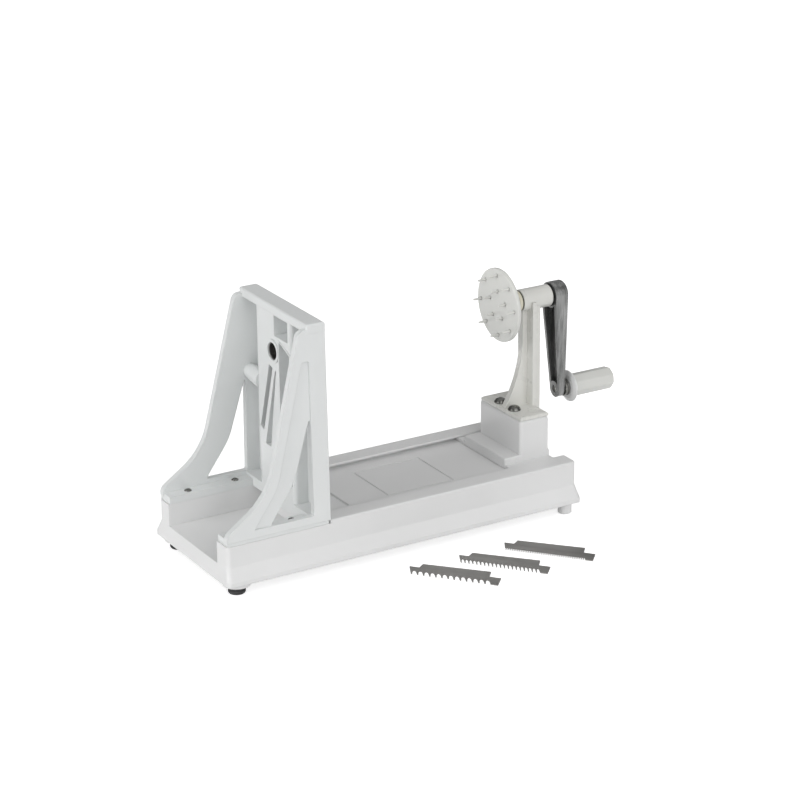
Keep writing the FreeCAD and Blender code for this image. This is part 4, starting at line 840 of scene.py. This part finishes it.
@dataclass
class Combs(Assembly):
    """The three spare combs on the table, each a flat toothed strip with two tabs."""

    combs: tuple[Comb, ...] = (
        Comb("coarse", 158.4, -102.6, 13, 7.6),
        Comb("medium", 208.5, -105.0, 20, 7.8),
        Comb("fine", 257.7, -103.2, 44, 4.8),
    )
    thickness: float = 0.9
    turn: float = -49.6
    toothed: float = 76.4
    slant: float = 3.3
    left: float = 5.9
    right: float = 71.0
    end: float = 83.4
    tab: float = 14.6
    back: float = 22.6
    skew: float = 2.4
    tip: float = 0.27
    lean: float = 0.39
    arch: float = 2.4
    steps: int = 13

    def add_pieces(self) -> None:
        """Makes each comb of ground steel."""
        for comb in self.combs:
            settle(self.strip(comb), Bodies.MACHINE, Look.BLADE_STEEL,
                   f"comb_{comb.name}")

    def outline(self, teeth: int, height: float) -> np.ndarray:
        """The outline of a comb in its own plane, in millimetres.

        Between two tips the gap follows u = (1 - cos t) / 2 across it and v = h sin(t)^(2 / n) into the
        strip, with t from 0 to pi, so that its top is an arch and the teeth taper to their tips.  The
        whole row leans towards the right tab by k (h - v).

        Args:
            teeth: Number of teeth.
            height: Height of a tooth.

        Returns:
            Array (n, 2) of points, counter-clockwise.
        """
        pitch = (self.toothed - self.lean * height) / teeth
        angle = np.linspace(0, math.pi, self.steps)[:-1]
        across = pitch * (self.tip + (1 - self.tip) * (1 - np.cos(angle)) / 2)
        into = height * np.sin(angle) ** (2 / self.arch)
        tooth = np.concatenate([[[0.0, 0.0]], np.stack([across, into], axis=1)])
        tooth[:, 0] += self.lean * (height - tooth[:, 1])
        row = tooth[None] + np.arange(teeth)[:, None, None] * np.array([pitch, 0.0])
        rim = [(self.toothed, 0.0), (self.end, 0.0), (self.end - self.slant / 2, self.tab),
               (self.right, self.tab), (self.right - self.slant / 2, self.back + self.skew),
               (self.left + self.slant / 4, self.back), (self.left, self.tab), (-self.slant, self.tab)]
        return np.concatenate([row.reshape(-1, 2), np.array(rim)])

    def strip(self, comb: Comb) -> bpy.types.Object:
        """Raises a comb's outline to its thickness and lays it on the table.

        The point (u, v) goes to corner + (u cos a - v sin a, u sin a + v cos a, z), z = 0 and thickness.

        Args:
            comb: The comb.

        Returns:
            The strip, shaded flat.
        """
        outline = self.outline(comb.teeth, comb.height)
        count, angle = len(outline), math.radians(self.turn)
        spin = np.array([[math.cos(angle), math.sin(angle)], [-math.sin(angle), math.cos(angle)]])
        flat = outline @ spin
        low = np.column_stack([flat, np.zeros(count)])
        high = np.column_stack([flat, np.full(count, self.thickness)])
        here = np.arange(count)
        after = (here + 1) % count
        walls = np.stack([here, after, after + count, here + count], axis=1).tolist()
        faces = [here[::-1].tolist(), (here + count).tolist(), *walls]
        points = place(comb.x, comb.y, 0.0) + np.concatenate([low, high]) * MM
        return solid(f"{comb.name}_comb", points, faces, smooth=False)


@dataclass(frozen=True)
class Glow:
    """A soft bright patch of the surround: where it lies, the cosine at its edge and its brightness."""

    toward: tuple[float, float, float]
    edge: float
    strength: float


@dataclass(frozen=True)
class Lamp:
    """A square lamp: its place and size in metres, and its power in watts."""

    name: str
    where: tuple[float, float, float]
    size: float
    power: float


@dataclass
class Studio:
    """Pale floor, soft surround with bright patches, a lamp and the photograph's camera."""

    focal_px: float = 2748.216
    picture_px: float = 800.0
    sensor_mm: float = 36.0
    sight_m: float = 100.0
    eye_mm: tuple[float, float, float] = (-959.7, -2007.0, 1002.8)
    yaw: float = 59.71
    pitch: float = 20.80
    roll: float = -0.66
    floor_half_m: float = 6.0
    floor_colour: tuple[float, float, float, float] = (0.8, 0.8, 0.8, 1.0)
    floor_roughness: float = 0.9
    floor_shine: float = 0.70
    ambient: float = 0.215
    white: tuple[float, float, float, float] = (1.0, 1.0, 1.0, 1.0)
    glows: tuple[Glow, ...] = (
        Glow((-0.94, -0.05, 0.34), 0.90, 4.4),
        Glow((0.02, -0.93, 0.34), 0.62, 1.36),
        Glow((0.85, 0.35, 0.40), 0.72, 0.25),
        Glow((0.0, 0.0, 1.0), 0.55, 0.36),
    )
    lamps: tuple[Lamp, ...] = (Lamp("front_soft", (-0.2, -2.4, 1.4), 0.6, 3.0),)
    lamp_aim: tuple[float, float, float] = (0.0, 0.04, 0.1)

    def build(self) -> None:
        """Makes the camera, the floor, the world and the lamps."""
        self.camera()
        self.floor()
        self.world()
        for lamp in self.lamps:
            self.hang(lamp)
        bpy.context.scene.view_settings.view_transform = "Standard"

    def camera(self) -> None:
        """Sets the camera that was solved from the photograph's edges."""
        yaw, pitch, roll = (math.radians(v) for v in (self.yaw, self.pitch, self.roll))
        ahead = Vector((math.cos(yaw) * math.cos(pitch), math.sin(yaw) * math.cos(pitch),
                        -math.sin(pitch)))
        level = ahead.cross(Vector((0, 0, 1))).normalized()
        upper = level.cross(ahead)
        right = math.cos(roll) * level + math.sin(roll) * upper
        top = -math.sin(roll) * level + math.cos(roll) * upper
        data = bpy.data.cameras.new("photo_camera")
        data.sensor_width = self.sensor_mm
        data.lens = self.sensor_mm * self.focal_px / self.picture_px
        data.clip_end = self.sight_m
        camera = bpy.data.objects.new("photo_camera", data)
        bpy.context.scene.collection.objects.link(camera)
        turn = Matrix((right, top, -ahead)).transposed().to_4x4()
        camera.matrix_world = Matrix.Translation(Vector(place(*self.eye_mm))) @ turn
        bpy.context.scene.camera = camera

    def floor(self) -> None:
        """A wide pale floor that also glows to the camera and to mirrors, with the shadow kept."""
        half = self.floor_half_m
        points = np.array([(-half, -half, 0), (half, -half, 0), (half, half, 0), (-half, half, 0)])
        floor = solid("studio_floor", points, [[0, 1, 2, 3]], smooth=False)
        nodes = MaterialTree("studio_floor")
        nodes.shader.inputs["Roughness"].default_value = self.floor_roughness
        nodes.shader.inputs["Base Color"].default_value = self.floor_colour
        glow = nodes.add("ShaderNodeEmission", Strength=self.floor_shine)
        dark = nodes.add("ShaderNodeEmission", Strength=0.0)
        path = nodes.add("ShaderNodeLightPath")
        seen = nodes.add("ShaderNodeMath", operation="MAXIMUM")
        nodes.link(path, "Is Camera Ray", seen, 0)
        nodes.link(path, "Is Glossy Ray", seen, 1)
        shown = nodes.add("ShaderNodeMixShader")
        nodes.link(seen, "Value", shown, "Fac")
        nodes.link(dark, "Emission", shown, 1)
        nodes.link(glow, "Emission", shown, 2)
        both = nodes.add("ShaderNodeAddShader")
        nodes.link(nodes.shader, "BSDF", both, 0)
        nodes.link(shown, "Shader", both, 1)
        nodes.link(both, "Shader", nodes.output, "Surface")
        floor.data.materials.append(nodes.material)

    def world(self) -> None:
        """A dim surround with soft bright patches, and plain white to the camera."""
        world = bpy.data.worlds.new("studio_world")
        world.use_nodes = True
        nodes = Tree(world.node_tree)
        coords = nodes.add("ShaderNodeTexCoord")
        total = nodes.add("ShaderNodeValue")
        total.outputs[0].default_value = self.ambient
        for glow in self.glows:
            facing = nodes.add("ShaderNodeVectorMath", operation="DOT_PRODUCT")
            facing.inputs[1].default_value = tuple(Vector(glow.toward).normalized())
            nodes.link(coords, "Generated", facing, 0)
            patch = nodes.add("ShaderNodeMapRange", interpolation_type="SMOOTHSTEP",
                              From_Min=glow.edge, From_Max=1.0, To_Max=glow.strength)
            nodes.link(facing, "Value", patch, "Value")
            summed = nodes.add("ShaderNodeMath", operation="ADD")
            nodes.link(total, 0, summed, 0)
            nodes.link(patch, "Result", summed, 1)
            total = summed
        soft = nodes.add("ShaderNodeBackground", Color=self.white)
        nodes.link(total, 0, soft, "Strength")
        plain = nodes.add("ShaderNodeBackground", Color=self.white)
        path = nodes.add("ShaderNodeLightPath")
        mix = nodes.add("ShaderNodeMixShader")
        nodes.link(path, "Is Camera Ray", mix, "Fac")
        nodes.link(soft, "Background", mix, 1)
        nodes.link(plain, "Background", mix, 2)
        output = nodes.add("ShaderNodeOutputWorld")
        nodes.link(mix, "Shader", output, "Surface")
        bpy.context.scene.world = world

    def hang(self, lamp: Lamp) -> None:
        """Hangs a soft lamp that faces the object.

        Args:
            lamp: The lamp.
        """
        data = bpy.data.lights.new(lamp.name, "AREA")
        data.size = lamp.size
        data.energy = lamp.power
        light = bpy.data.objects.new(lamp.name, data)
        bpy.context.scene.collection.objects.link(light)
        where = Vector(lamp.where)
        turn = (Vector(self.lamp_aim) - where).to_track_quat("-Z", "Y").to_matrix().to_4x4()
        light.matrix_world = Matrix.Translation(where) @ turn


def main() -> None:
    """Builds every sub-assembly in order, then the studio."""
    logging.basicConfig(level=logging.INFO, format="%(message)s")
    assemblies: list[Assembly | Studio] = [
        Base(), Tower(), Carriage(), Crank(), Grip(), Combs(), Studio()]
    for assembly in assemblies:
        LOG.info("building %s", type(assembly).__name__)
        assembly.build()


if __name__ == "__main__":
    main()
